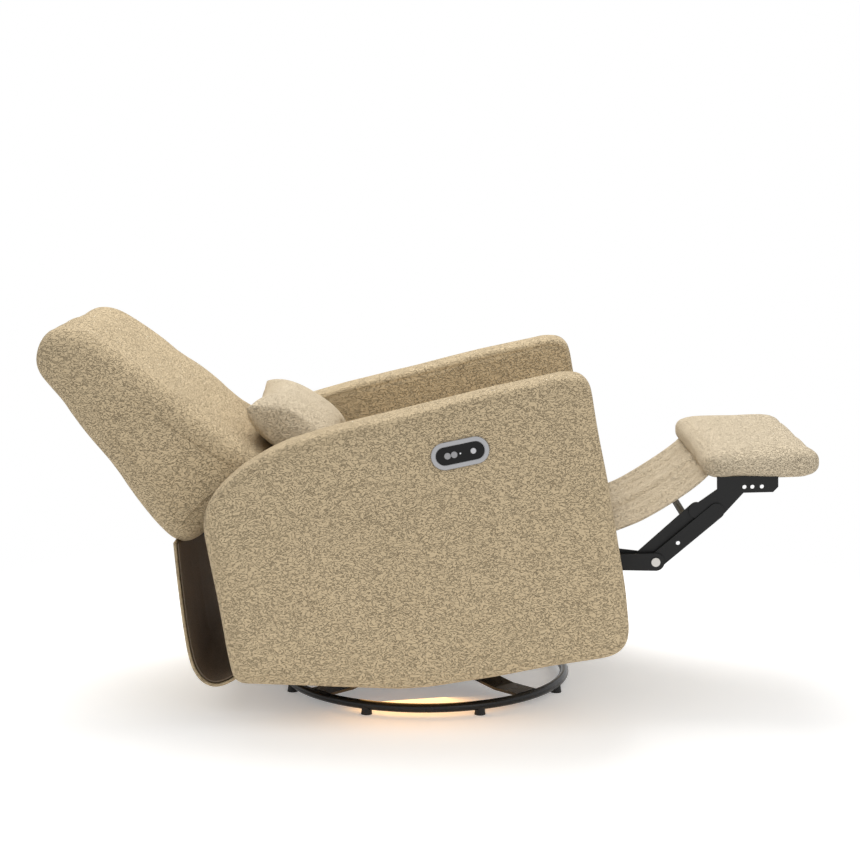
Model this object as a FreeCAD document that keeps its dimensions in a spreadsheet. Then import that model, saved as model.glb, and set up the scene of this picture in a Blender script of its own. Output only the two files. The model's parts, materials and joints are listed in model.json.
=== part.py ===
import FreeCAD, Part
import math
import os

import Sketcher
from FreeCAD import Placement, Rotation, Vector

# Swivel glider recliner, shown fully reclined with the footrest out.
# +X is the front, +Y the sitter's left, +Z up. The origin is on the floor, on the swivel axis.
# Sub-parts of the tilting chair body are drawn upright and then placed tilted about the tilt pivot.

SIZES = [
    # poses at rest
    ("seat_tilt", 10.0),
    ("back_recline", 26.0),
    # clearances
    ("running_gap", 0.05),
    ("body_gap", 0.6),
    ("seat_gap", 0.3),
    # round base
    ("ring_radius", 285.0),
    ("ring_tube", 9.0),
    ("foot_count", 8.0),
    ("foot_radius", 11.0),
    ("foot_height", 9.0),
    ("cross_bar_width", 54.0),
    ("cross_bar_thickness", 5.0),
    ("hub_radius", 88.0),
    ("hub_top", 50.0),
    # swivel bearing
    ("swivel_plate_radius", 80.0),
    ("swivel_plate_thickness", 4.0),
    ("swivel_pin_radius", 12.0),
    ("race_radius", 55.0),
    ("race_tube", 4.0),
    # glider stand
    ("stand_plate_y", 152.0),
    ("plate_thickness", 4.0),
    ("glide_link_length", 106.0),
    ("glide_pivot_height", 84.0),
    ("glide_front_x", 50.0),
    ("glide_rear_x", -110.0),
    ("glide_link_radius", 13.0),
    ("stand_channel_width", 40.0),
    ("stand_channel_height", 16.0),
    ("pin_radius", 5.0),
    ("pin_head_radius", 8.5),
    ("pin_head_height", 2.5),
    # platform that glides
    ("platform_rail_height", 44.0),
    ("platform_tube_size", 20.0),
    ("platform_tube_height", 104.0),
    ("platform_front_x", 115.0),
    ("platform_rear_x", -175.0),
    # tilt pivot and lift links
    ("tilt_pivot_x", -50.0),
    ("tilt_pivot_z", 215.0),
    ("lift_foot_x", 90.0),
    ("lift_foot_z", 120.0),
    ("lift_top_x", 103.3),
    ("lift_top_z", 162.6),
    ("lift_link_length", 45.0),
    ("lift_link_radius", 11.0),
    # chair body between the arms; each drop is measured down from the seat deck
    ("seat_half_width", 280.0),
    ("side_rail_thickness", 23.0),
    ("mechanism_plate_thickness", 3.5),
    ("link_thickness", 3.5),
    ("chassis_tube_radius", 11.0),
    ("front_tube_x", 303.0),
    ("front_tube_drop", 14.0),
    ("rear_tube_x", -235.0),
    ("rear_tube_drop", 104.0),
    ("deck_height", 374.0),
    ("webbing_thickness", 2.0),
    ("webbing_width", 60.0),
    ("front_rail_gap", 4.0),
    ("front_rail_thickness", 22.0),
    ("front_rail_height", 26.0),
    ("rear_rail_height", 60.0),
    # seat cushion
    ("seat_rear_x", -186.0),
    ("seat_front_x", 374.0),
    ("seat_thickness", 92.0),
    ("seat_crown", 14.0),
    ("seat_nose_drop", 38.0),
    ("cushion_side_gap", 8.0),
    # arms
    ("arm_thickness", 115.0),
    ("arm_front_x", 377.0),
    ("arm_rear_x", -366.0),
    ("arm_top_z", 604.0),
    ("arm_bottom_z", 82.0),
    ("arm_edge_radius", 14.0),
    ("arm_padding", 22.0),
    # control panel on the right arm
    ("panel_x", 122.0),
    ("panel_drop", 100.0),
    ("panel_angle", 2.0),
    ("panel_length", 102.0),
    ("panel_height", 45.0),
    ("panel_rim", 6.5),
    ("panel_proud", 3.0),
    ("panel_depth", 24.0),
    ("panel_wall", 2.0),
    ("button_radius", 6.0),
    ("button_spacing", 12.4),
    ("button_proud", 2.2),
    ("button_gap", 0.35),
    ("home_button_radius", 5.2),
    ("led_radius", 1.5),
    # backrest
    ("back_pivot_x", -320.0),
    ("back_pivot_drop", 4.0),
    ("back_side_gap", 12.0),
    ("back_rear_x", -423.0),
    ("back_lift", 72.0),
    ("back_height", 466.0),
    ("back_crown", 6.0),
    ("back_edge_radius", 40.0),
    # pillow
    ("pillow_half_width", 200.0),
    ("pillow_length", 186.0),
    ("pillow_thickness", 84.0),
    ("pillow_pinch", 26.0),
    ("pillow_crown", 5.0),
    ("pillow_x", -264.0),
    ("pillow_lift", 147.2),
    ("pillow_lean", 57.0),
    # footrest linkage, pivots in the upright chair body
    ("lever_pivot_x", 303.4),
    ("lever_pivot_drop", 86.4),
    ("knee_x", 449.7),
    ("knee_drop", 163.9),
    ("link_top_x", 579.0),
    ("link_top_drop", 87.1),
    ("torque_tube_x", 302.6),
    ("torque_tube_drop", 40.6),
    ("second_knee_x", 419.7),
    ("second_knee_drop", 155.5),
    ("second_top_x", 542.8),
    ("second_top_drop", 79.7),
    ("link_radius", 15.0),
    ("lobe_radius", 17.0),
    ("torque_tube_radius", 10.0),
    ("cross_bar_radius", 7.0),
    ("cross_bar_setback", 26.0),
    ("spare_hole_share", 0.37),
    ("crank_radius", 28.0),
    ("crank_angle", -94.0),
    # footrest pad
    ("pad_rear_x", 568.7),
    ("pad_rear_drop", 19.3),
    ("pad_drop", 8.4),
    ("pad_length", 213.0),
    ("pad_side_gap", 20.0),
    ("pad_thickness", 46.0),
    ("pad_board_thickness", 12.0),
    ("pad_corner_radius", 42.0),
    ("bracket_hole_radius", 4.0),
    # cloth under the footrest
    ("cloth_side_gap", 48.0),
    ("cloth_thickness", 3.0),
    ("cloth_edge_x", 546.0),
    ("cloth_edge_drop", 44.0),
    ("cloth_sag_x", 386.0),
    ("cloth_sag_drop", 96.0),
    ("cloth_rise_x", 350.0),
    ("cloth_rise_drop", 82.0),
    # skirt behind the chair
    ("skirt_side_gap", 18.0),
    ("skirt_thickness", 8.0),
    ("skirt_top_x", -474.0),
    ("skirt_top_z", 318.0),
    ("skirt_foot_x", -447.0),
    ("skirt_foot_z", 52.0),
    ("skirt_front_x", -341.0),
    ("skirt_front_z", 89.0),
    ("skirt_corner", 34.0),
    # drive
    ("drive_y", 0.0),
    ("drive_tube_radius", 17.0),
    ("drive_rod_radius", 8.0),
    ("motor_radius", 24.0),
    ("motor_length", 92.0),
]

doc = FreeCAD.newDocument("SwivelGliderRecliner")
sheet = doc.addObject("Spreadsheet::Sheet", "Sizes")
for row, (alias, value) in enumerate(SIZES, start=1):
    sheet.set("A%d" % row, alias.replace("_", " "))
    sheet.set("B%d" % row, "%g" % value)
    sheet.setAlias("B%d" % row, alias)
doc.recompute()

subparts = []
SIDES = {"left": 1, "right": -1}


def size(alias):
    """The sheet's value of one driving dimension."""
    return float(getattr(sheet, alias))


def below_deck(alias):
    """Height of a point whose drop below the seat deck is given."""
    return size("deck_height") - size(alias)


def bind(thing, **expressions):
    """Bind properties of an object to expressions of the sheet's cells."""
    for prop, text in expressions.items():
        thing.setExpression(prop, text)


def keep(thing, label, place=None):
    """Register a finished object as a sub-part under its node name."""
    thing.Label = label
    if place is not None:
        thing.Placement = place
    subparts.append(thing)
    return thing


def about_y(angle, x, z):
    """A turn by an angle about the crosswise axis through (x, z)."""
    return Placement(Vector(0, 0, 0), Rotation(Vector(0, 1, 0), angle), Vector(x, 0, z))


def turn(x, z, degrees):
    """Turn a side-view vector counter-clockwise, seen from the chair's right."""
    c = math.cos(math.radians(degrees))
    s = math.sin(math.radians(degrees))
    return x * c - z * s, x * s + z * c


UPRIGHT = Placement()
CHASSIS = about_y(-size("seat_tilt"), size("tilt_pivot_x"), size("tilt_pivot_z"))
BACK = CHASSIS.multiply(about_y(-size("back_recline"), size("back_pivot_x"), below_deck("back_pivot_drop")))
FOOTPAD = CHASSIS.multiply(
    Placement(Vector(size("pad_rear_x"), 0, below_deck("pad_rear_drop")), Rotation(Vector(0, 1, 0), size("pad_drop")))
)


def back_half_width():
    """Half the width of the backrest, which stands just clear of the arms."""
    return size("seat_half_width") - size("back_side_gap")


def pad_half_width():
    """Half the width of the footrest pad, which folds up between the arms."""
    return size("seat_half_width") - size("pad_side_gap")


def layer_y(layer):
    """Middle of one of the flat link layers, counted inwards from the mechanism plate (layer 0)."""
    plate_inner = size("seat_half_width") - size("side_rail_thickness") - size("mechanism_plate_thickness")
    pitch = size("link_thickness") + size("body_gap")
    return plate_inner - pitch * layer + size("link_thickness") / 2


def shifted(place, y):
    """A placement with a crosswise offset applied first."""
    return place.multiply(Placement(Vector(0, y, 0), Rotation()))


def origin_plane(body, role):
    """One of a body's own origin planes."""
    for feature in body.Origin.OriginFeatures:
        if feature.Role == role:
            return feature
    raise ValueError(role)


def new_sketch(body, role, name):
    """An empty sketch on one of the body's origin planes."""
    sketch = body.newObject("Sketcher::SketchObject", name)
    sketch.AttachmentSupport = [(origin_plane(body, role), "")]
    sketch.MapMode = "FlatFace"
    return sketch


def add_slot(sketch, start, start_radius, end, end_radius):
    """A closed outline round two circles and their outer tangents."""
    dx = end[0] - start[0]
    dz = end[1] - start[1]
    length = math.hypot(dx, dz)
    heading = math.atan2(dz, dx)
    spread = math.acos((start_radius - end_radius) / length)
    corners = []
    for centre, radius in ((start, start_radius), (end, end_radius)):
        for side in (1, -1):
            angle = heading + side * spread
            corners.append(
                Vector(centre[0] + radius * math.cos(angle), centre[1] + radius * math.sin(angle), 0)
            )
    start_up, start_down, end_up, end_down = corners
    back = Vector(start[0] - start_radius * dx / length, start[1] - start_radius * dz / length, 0)
    tip = Vector(end[0] + end_radius * dx / length, end[1] + end_radius * dz / length, 0)
    sketch.addGeometry(Part.LineSegment(start_down, end_down), False)
    sketch.addGeometry(Part.Arc(end_down, tip, end_up), False)
    sketch.addGeometry(Part.LineSegment(end_up, start_up), False)
    sketch.addGeometry(Part.Arc(start_up, back, start_down), False)


def symmetric_pad(body, sketch, thickness_cell, name):
    """A pad to both sides of its sketch, as thick as a cell says."""
    pad = body.newObject("PartDesign::Pad", name)
    pad.Profile = sketch
    pad.SideType = "Symmetric"
    bind(pad, Length="Sizes." + thickness_cell)
    return pad


def drill(body, centres, radius_expression, name, depth=40.0):
    """Round holes through a plate, their radius bound to the sheet."""
    sketch = new_sketch(body, "XZ_Plane", name + "Sketch")
    for index, centre in enumerate(centres):
        sketch.addGeometry(Part.Circle(Vector(centre[0], centre[1], 0), Vector(0, 0, 1), 4.0), False)
        sketch.addConstraint(Sketcher.Constraint("Radius", index, 4.0))
        sketch.setExpression("Constraints[%d]" % index, radius_expression)
    pocket = body.newObject("PartDesign::Pocket", name)
    pocket.Profile = sketch
    pocket.SideType = "Symmetric"
    pocket.Length = depth
    return pocket


def link(label, chain, holes, y, place, thickness_cell="link_thickness", hole_expression=None, spare_holes=()):
    """A flat steel link: slots along a chain of round lobes, drilled at its pivots."""
    body = doc.addObject("PartDesign::Body", label + "_body")
    for index in range(len(chain) - 1):
        sketch = new_sketch(body, "XZ_Plane", "%s_outline_%d" % (label, index))
        (start, start_radius), (end, end_radius) = chain[index], chain[index + 1]
        add_slot(sketch, start, start_radius, end, end_radius)
        symmetric_pad(body, sketch, thickness_cell, "%s_pad_%d" % (label, index))
    if holes:
        drill(body, holes, hole_expression or "Sizes.pin_radius + Sizes.running_gap", label + "_holes")
    if spare_holes:
        drill(body, spare_holes, "Sizes.bracket_hole_radius", label + "_spare_holes")
    body.Placement = shifted(place, y)
    return body


def link_pair(label, chain, holes, y, place, **details):
    """The same flat link at the left and the right of the chair, as one node."""
    bodies = [
        link("%s_%s" % (label, side_name), chain, holes, side * y, place, **details)
        for side_name, side in SIDES.items()
    ]
    return pair(label, bodies)


def pair(label, bodies):
    """Two like bodies that share a node."""
    both = doc.addObject("Part::Compound", label)
    both.Links = bodies
    return keep(both, label)


def cylinder_between(start, end, radius):
    """A round bar from one point to another."""
    along = end.sub(start)
    return Part.makeCylinder(radius, along.Length, start, along)


def pin(x, z, y_inner, y_outer, side, head_at="inner"):
    """A headed pivot pin across the layers at one side of the chair."""
    shank = cylinder_between(Vector(x, side * y_inner, z), Vector(x, side * y_outer, z), size("pin_radius"))
    head_y = y_inner if head_at == "inner" else y_outer
    outward = -1 if head_at == "inner" else 1
    head = cylinder_between(
        Vector(x, side * head_y, z),
        Vector(x, side * (head_y + outward * size("pin_head_height")), z),
        size("pin_head_radius"),
    )
    return shank.fuse(head).removeSplitter().Solids[0]


def group(label, solids, place):
    """Separate solids of one kind that share a node."""
    feature = doc.addObject("Part::Feature", label)
    feature.Shape = Part.makeCompound(solids)
    return keep(feature, label, place)


def solid_feature(label, shape, place):
    """One solid made from formulas."""
    feature = doc.addObject("Part::Feature", label)
    feature.Shape = shape
    return keep(feature, label, place)


def cross_rail(label, height_cell, x):
    """A timber rail across the chair, its top level with the seat deck."""
    rail = doc.addObject("Part::Box", label)
    bind(
        rail,
        Length="Sizes.front_rail_thickness",
        Width="2 * (Sizes.seat_half_width - Sizes.side_rail_thickness)",
        Height="Sizes." + height_cell,
    )
    inner = size("seat_half_width") - size("side_rail_thickness")
    corner = Vector(x, -inner, size("deck_height") - size(height_cell))
    return keep(rail, label, CHASSIS.multiply(Placement(corner, Rotation())))


def rounded_wire(points, y, shrink=0.0):
    """A closed side-view outline at a crosswise station, its corners rounded by arcs.

    Each point is (x, z, radius). The outline is drawn in by shrink on every side.
    """
    count = len(points)
    area = 0.0
    for index in range(count):
        ax, az = points[index][0], points[index][1]
        bx, bz = points[(index + 1) % count][0], points[(index + 1) % count][1]
        area += ax * bz - bx * az
    side = 1.0 if area > 0 else -1.0
    lines = []
    for index in range(count):
        ax, az = points[index][0], points[index][1]
        bx, bz = points[(index + 1) % count][0], points[(index + 1) % count][1]
        length = math.hypot(bx - ax, bz - az)
        ux, uz = (bx - ax) / length, (bz - az) / length
        lines.append((ax - side * uz * shrink, az + side * ux * shrink, ux, uz))
    corners = []
    for index in range(count):
        px, pz, ux, uz = lines[index - 1]
        qx, qz, vx, vz = lines[index]
        cross = ux * vz - uz * vx
        along = ((qx - px) * vz - (qz - pz) * vx) / cross
        corners.append((px + ux * along, pz + uz * along))
    edges = []
    marks = []
    for index in range(count):
        ux, uz = lines[index - 1][2], lines[index - 1][3]
        vx, vz = lines[index][2], lines[index][3]
        cross = ux * vz - uz * vx
        convex = cross * side > 0
        radius = points[index][2] - shrink if convex else points[index][2] + shrink
        radius = max(radius, 1.0)
        half = math.acos(max(-1.0, min(1.0, ux * vx + uz * vz))) / 2
        reach = radius * math.tan(half)
        cx, cz = corners[index]
        entry = (cx - ux * reach, cz - uz * reach)
        leave = (cx + vx * reach, cz + vz * reach)
        bend = (vx - ux, vz - uz)
        bend_length = math.hypot(bend[0], bend[1])
        depth = radius / math.cos(half) - radius
        middle = (cx + bend[0] / bend_length * depth, cz + bend[1] / bend_length * depth)
        marks.append((entry, middle, leave))
    for index in range(count):
        entry, middle, leave = (Vector(x, y, z) for x, z in marks[index])
        edges.append(Part.Arc(entry, middle, leave).toShape())
        following = marks[(index + 1) % count][0]
        edges.append(Part.LineSegment(leave, Vector(following[0], y, following[1])).toShape())
    return Part.Wire(edges)


def padded_loft(points, half_width, edge, crown, centre_y=0.0):
    """A cushion as a loft across its width: drawn in at the sides, crowned in the middle.

    Its side sections follow a quarter circle of the edge radius, and its middle swells by the crown.
    """
    sections = []
    flank = half_width - edge
    steps = [
        (half_width, edge * 0.62),
        (half_width - edge * 0.12, edge * 0.30),
        (half_width - edge * 0.45, edge * 0.08),
        (flank, 0.0),
        (flank * 0.5, -crown * 0.75),
        (0.0, -crown),
    ]
    stations = [(-y, shrink) for y, shrink in steps] + [(y, shrink) for y, shrink in reversed(steps[:-1])]
    for y, shrink in stations:
        sections.append(rounded_wire(points, centre_y + y, shrink))
    return Part.makeLoft(sections, True, True)


def make_base():
    """Ring of round tube on glide feet, crossed by two bars that rise to the swivel plate."""
    ring = doc.addObject("Part::Torus", "RingTube")
    bind(ring, Radius1="Sizes.ring_radius", Radius2="Sizes.ring_tube")
    ring.setExpression("Placement.Base.z", "Sizes.foot_height + Sizes.ring_tube")
    keep(ring, "base_ring")

    ring_z = size("foot_height") + size("ring_tube")
    feet = []
    count = int(size("foot_count"))
    for index in range(count):
        angle = 2 * math.pi * (index + 0.5) / count
        x = size("ring_radius") * math.cos(angle)
        y = size("ring_radius") * math.sin(angle)
        foot = Part.makeCone(size("foot_radius"), size("foot_radius") - 2.5, ring_z - 1, Vector(x, y, 0))
        ring_cut = ring_solid(size("ring_tube"))
        feet.append(foot.cut(ring_cut).Solids[0])
    group("glide_feet", feet, UPRIGHT)

    thickness = size("cross_bar_thickness")
    outer = size("ring_radius") - size("ring_tube") * 0.2
    inner = size("hub_radius")
    low = ring_z + size("ring_tube") * 0.55
    high = size("hub_top")
    profile = [
        Vector(-outer, 0, low),
        Vector(-outer + 60, 0, low),
        Vector(-inner, 0, high - thickness),
        Vector(inner, 0, high - thickness),
        Vector(outer - 60, 0, low),
        Vector(outer, 0, low),
        Vector(outer, 0, low + thickness),
        Vector(outer - 60, 0, low + thickness),
        Vector(inner, 0, high),
        Vector(-inner, 0, high),
        Vector(-outer + 60, 0, low + thickness),
        Vector(-outer, 0, low + thickness),
    ]
    face = Part.Face(Part.makePolygon(profile + [profile[0]]))
    width = size("cross_bar_width")
    bar = face.extrude(Vector(0, width, 0))
    bar.translate(Vector(0, -width / 2, 0))
    first = bar.copy()
    first.rotate(Vector(), Vector(0, 0, 1), 45)
    second = bar.copy()
    second.rotate(Vector(), Vector(0, 0, 1), -45)
    bars = first.fuse(second).cut(ring_solid(size("ring_tube")))
    bore = Part.makeCylinder(size("swivel_pin_radius") + size("running_gap"), 100)
    bars = bars.cut(bore).removeSplitter()
    solid_feature("base_cross_bars", bars.Solids[0], UPRIGHT)


def ring_solid(tube_radius):
    """The base ring's own solid, for cutting seats in what rests on it."""
    ring = Part.makeTorus(size("ring_radius"), tube_radius)
    ring.translate(Vector(0, 0, size("foot_height") + size("ring_tube")))
    return ring


def make_swivel():
    """Two pressed plates turning on a ball race round a king pin."""
    plate = size("swivel_plate_thickness")
    gap = size("body_gap")
    race = size("race_tube")
    lower_z = size("hub_top")
    upper_z = lower_z + plate + 2 * race + gap

    lower = doc.addObject("Part::Cylinder", "LowerPlateBlank")
    bind(lower, Radius="Sizes.swivel_plate_radius", Height="Sizes.swivel_plate_thickness")
    lower.setExpression("Placement.Base.z", "Sizes.hub_top")
    lower_bore = doc.addObject("Part::Cylinder", "LowerPlateBore")
    bind(lower_bore, Radius="Sizes.swivel_pin_radius + Sizes.running_gap", Height="4 * Sizes.hub_top")
    lower_plate = doc.addObject("Part::Cut", "LowerPlate")
    lower_plate.Base = lower
    lower_plate.Tool = lower_bore
    keep(lower_plate, "swivel_lower_plate")

    race_outer = doc.addObject("Part::Cylinder", "RaceOuter")
    bind(race_outer, Radius="Sizes.race_radius + Sizes.race_tube", Height="2 * Sizes.race_tube")
    race_outer.setExpression("Placement.Base.z", "Sizes.hub_top + Sizes.swivel_plate_thickness")
    race_inner = doc.addObject("Part::Cylinder", "RaceInner")
    bind(race_inner, Radius="Sizes.race_radius - Sizes.race_tube", Height="4 * Sizes.hub_top")
    race_ring = doc.addObject("Part::Cut", "BallRace")
    race_ring.Base = race_outer
    race_ring.Tool = race_inner
    keep(race_ring, "swivel_ball_race")

    upper = doc.addObject("Part::Cylinder", "UpperPlate")
    bind(upper, Radius="Sizes.swivel_plate_radius", Height="Sizes.swivel_plate_thickness")
    upper.setExpression(
        "Placement.Base.z",
        "Sizes.hub_top + Sizes.swivel_plate_thickness + 2 * Sizes.race_tube + Sizes.body_gap",
    )
    keep(upper, "swivel_upper_plate")

    pin_low = size("hub_top") - size("cross_bar_thickness") - gap
    shank = Part.makeCylinder(size("swivel_pin_radius"), upper_z - pin_low, Vector(0, 0, pin_low))
    head = Part.makeCylinder(size("swivel_pin_radius") + 6, 4, Vector(0, 0, pin_low - 4))
    solid_feature("swivel_king_pin", shank.fuse(head).removeSplitter(), UPRIGHT)
    return upper_z + plate


def make_stand(plate_top):
    """Stand on the swivel: two channels and two side plates with the glide links' top pivots."""
    stand_y = size("stand_plate_y")
    top_z = size("glide_pivot_height") + size("glide_link_length")
    thickness = size("plate_thickness")
    channel_height = size("stand_channel_height")
    channels = []
    for x in (size("glide_front_x") - 14, size("glide_rear_x") + 14):
        outer = Part.makeBox(
            size("stand_channel_width"),
            2 * stand_y - thickness,
            channel_height,
            Vector(x - size("stand_channel_width") / 2, -stand_y + thickness / 2, plate_top),
        )
        hollow = Part.makeBox(
            size("stand_channel_width") - 6,
            2 * stand_y,
            channel_height - 3,
            Vector(x - size("stand_channel_width") / 2 + 3, -stand_y, plate_top + 3),
        )
        channels.append(outer.cut(hollow))
    group("stand_channels", channels, UPRIGHT)

    foot_z = plate_top + channel_height / 2 + 2
    radius = size("glide_link_radius")
    front_top = (size("glide_front_x"), top_z)
    rear_top = (size("glide_rear_x"), top_z)
    front_foot = (size("glide_front_x") - 16, foot_z)
    rear_foot = (size("glide_rear_x") + 16, foot_z)
    link_pair(
        "stand_plates",
        [(front_top, radius), (front_foot, 10.0), (rear_foot, 10.0), (rear_top, radius)],
        [front_top, rear_top],
        stand_y,
        UPRIGHT,
        thickness_cell="plate_thickness",
    )
    return top_z


def make_glide_links(top_z):
    """Four hanging links in two pairs, and the pins at both ends."""
    pitch = size("plate_thickness") + size("body_gap")
    link_y = size("stand_plate_y") + pitch
    rail_y = link_y + pitch
    half = size("plate_thickness") / 2
    low_z = size("glide_pivot_height")
    radius = size("glide_link_radius")
    for name, x in (("front", size("glide_front_x")), ("rear", size("glide_rear_x"))):
        link_pair(
            "glide_links_" + name,
            [((x, top_z), radius), ((x, low_z), radius)],
            [(x, top_z), (x, low_z)],
            link_y,
            UPRIGHT,
            thickness_cell="plate_thickness",
        )
    pins = []
    for x in (size("glide_front_x"), size("glide_rear_x")):
        for side in (1, -1):
            inner = size("stand_plate_y") - half
            pins.append(pin(x, top_z, inner, link_y + half, side))
    group("stand_pivot_pins", pins, UPRIGHT)
    return rail_y


def make_platform(rail_y):
    """Gliding platform: two rails, two cross tubes and two side plates that carry the chair body."""
    thickness = size("plate_thickness")
    tube = size("platform_tube_size")
    tube_z = size("platform_tube_height")
    side_y = layer_y(3)
    side_half = size("link_thickness") / 2
    tubes = []
    for x in (size("platform_front_x"), size("platform_rear_x")):
        outer = Part.makeBox(
            tube, 2 * (side_y - side_half), tube, Vector(x - tube / 2, -side_y + side_half, tube_z - tube / 2)
        )
        bore = Part.makeBox(
            tube - 4, 2 * side_y, tube - 4, Vector(x - tube / 2 + 2, -side_y, tube_z - tube / 2 + 2)
        )
        tubes.append(outer.cut(bore))
    group("platform_cross_tubes", tubes, UPRIGHT)

    low_z = size("glide_pivot_height")
    half_height = size("platform_rail_height") / 2
    front = size("platform_front_x") + 18
    rear = size("platform_rear_x") - 18
    rails = []
    for side_name, side in SIDES.items():
        body = doc.addObject("PartDesign::Body", "platform_rail_body_" + side_name)
        outline = new_sketch(body, "XZ_Plane", "platform_rail_outline_" + side_name)
        centre_z = low_z + 8
        add_slot(outline, (rear, centre_z), half_height - 1, (front, centre_z), half_height)
        symmetric_pad(body, outline, "plate_thickness", "platform_rail_pad_" + side_name)
        windows = new_sketch(body, "XZ_Plane", "platform_rail_windows_" + side_name)
        for x in (size("platform_front_x"), size("platform_rear_x")):
            add_rectangle(windows, x - tube / 2, tube_z - tube / 2, x + tube / 2, tube_z + tube / 2)
        pocket = body.newObject("PartDesign::Pocket", "platform_rail_cut_" + side_name)
        pocket.Profile = windows
        pocket.SideType = "Symmetric"
        pocket.Length = 40
        holes = [(size("glide_front_x"), low_z), (size("glide_rear_x"), low_z)]
        drill(body, holes, "Sizes.pin_radius", "platform_rail_holes_" + side_name)
        body.Placement = shifted(UPRIGHT, side * rail_y)
        rails.append(body)
    pair("platform_rails", rails)

    tilt = (size("tilt_pivot_x"), size("tilt_pivot_z"))
    lift = (size("lift_foot_x"), size("lift_foot_z"))
    rear_end = (size("platform_rear_x"), tube_z)
    front_end = (size("platform_front_x"), tube_z)
    link_pair(
        "platform_side_plates",
        [(front_end, 16.0), (lift, 16.0), (tilt, 20.0), (rear_end, 16.0)],
        [tilt, lift],
        side_y,
        UPRIGHT,
        hole_expression="Sizes.pin_radius",
    )

    pins = []
    half = thickness / 2
    for side in (1, -1):
        for x in (size("glide_front_x"), size("glide_rear_x")):
            pins.append(pin(x, low_z, rail_y - thickness - size("body_gap") - half, rail_y + half, side, "outer"))
        pins.append(pin(tilt[0], tilt[1], side_y - side_half, layer_y(0) + side_half - size("body_gap"), side))
        pins.append(pin(lift[0], lift[1], side_y - side_half, layer_y(2) + side_half, side))
    group("platform_pivot_pins", pins, UPRIGHT)


def add_rectangle(sketch, x_low, z_low, x_high, z_high):
    """A closed rectangle in a sketch."""
    corners = [Vector(x_low, z_low, 0), Vector(x_high, z_low, 0), Vector(x_high, z_high, 0), Vector(x_low, z_high, 0)]
    for index in range(4):
        sketch.addGeometry(Part.LineSegment(corners[index], corners[(index + 1) % 4]), False)


def tilted_point(x, z):
    """Where a point of the upright chair body stands at rest."""
    place = CHASSIS.multVec(Vector(x, 0, z))
    return place.x, place.z


def make_lift_links():
    """Toggle of two short links each side, which holds the tilted chair body up at the front."""
    foot = (size("lift_foot_x"), size("lift_foot_z"))
    top = tilted_point(size("lift_top_x"), size("lift_top_z"))
    span = math.hypot(top[0] - foot[0], top[1] - foot[1])
    reach = size("lift_link_length")
    heading = math.degrees(math.atan2(top[1] - foot[1], top[0] - foot[0]))
    opening = math.degrees(math.acos(span / 2 / reach))
    dx, dz = turn(reach, 0, heading + opening)
    knee = (foot[0] + dx, foot[1] + dz)
    radius = size("lift_link_radius")
    hole = "Sizes.pin_radius + Sizes.running_gap"
    link_pair("lift_links_lower", [(foot, radius), (knee, radius)], [foot], layer_y(2), UPRIGHT, hole_expression=hole)
    link_pair("lift_links_upper", [(knee, radius), (top, radius)], [top], layer_y(1), UPRIGHT, hole_expression=hole)


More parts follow.
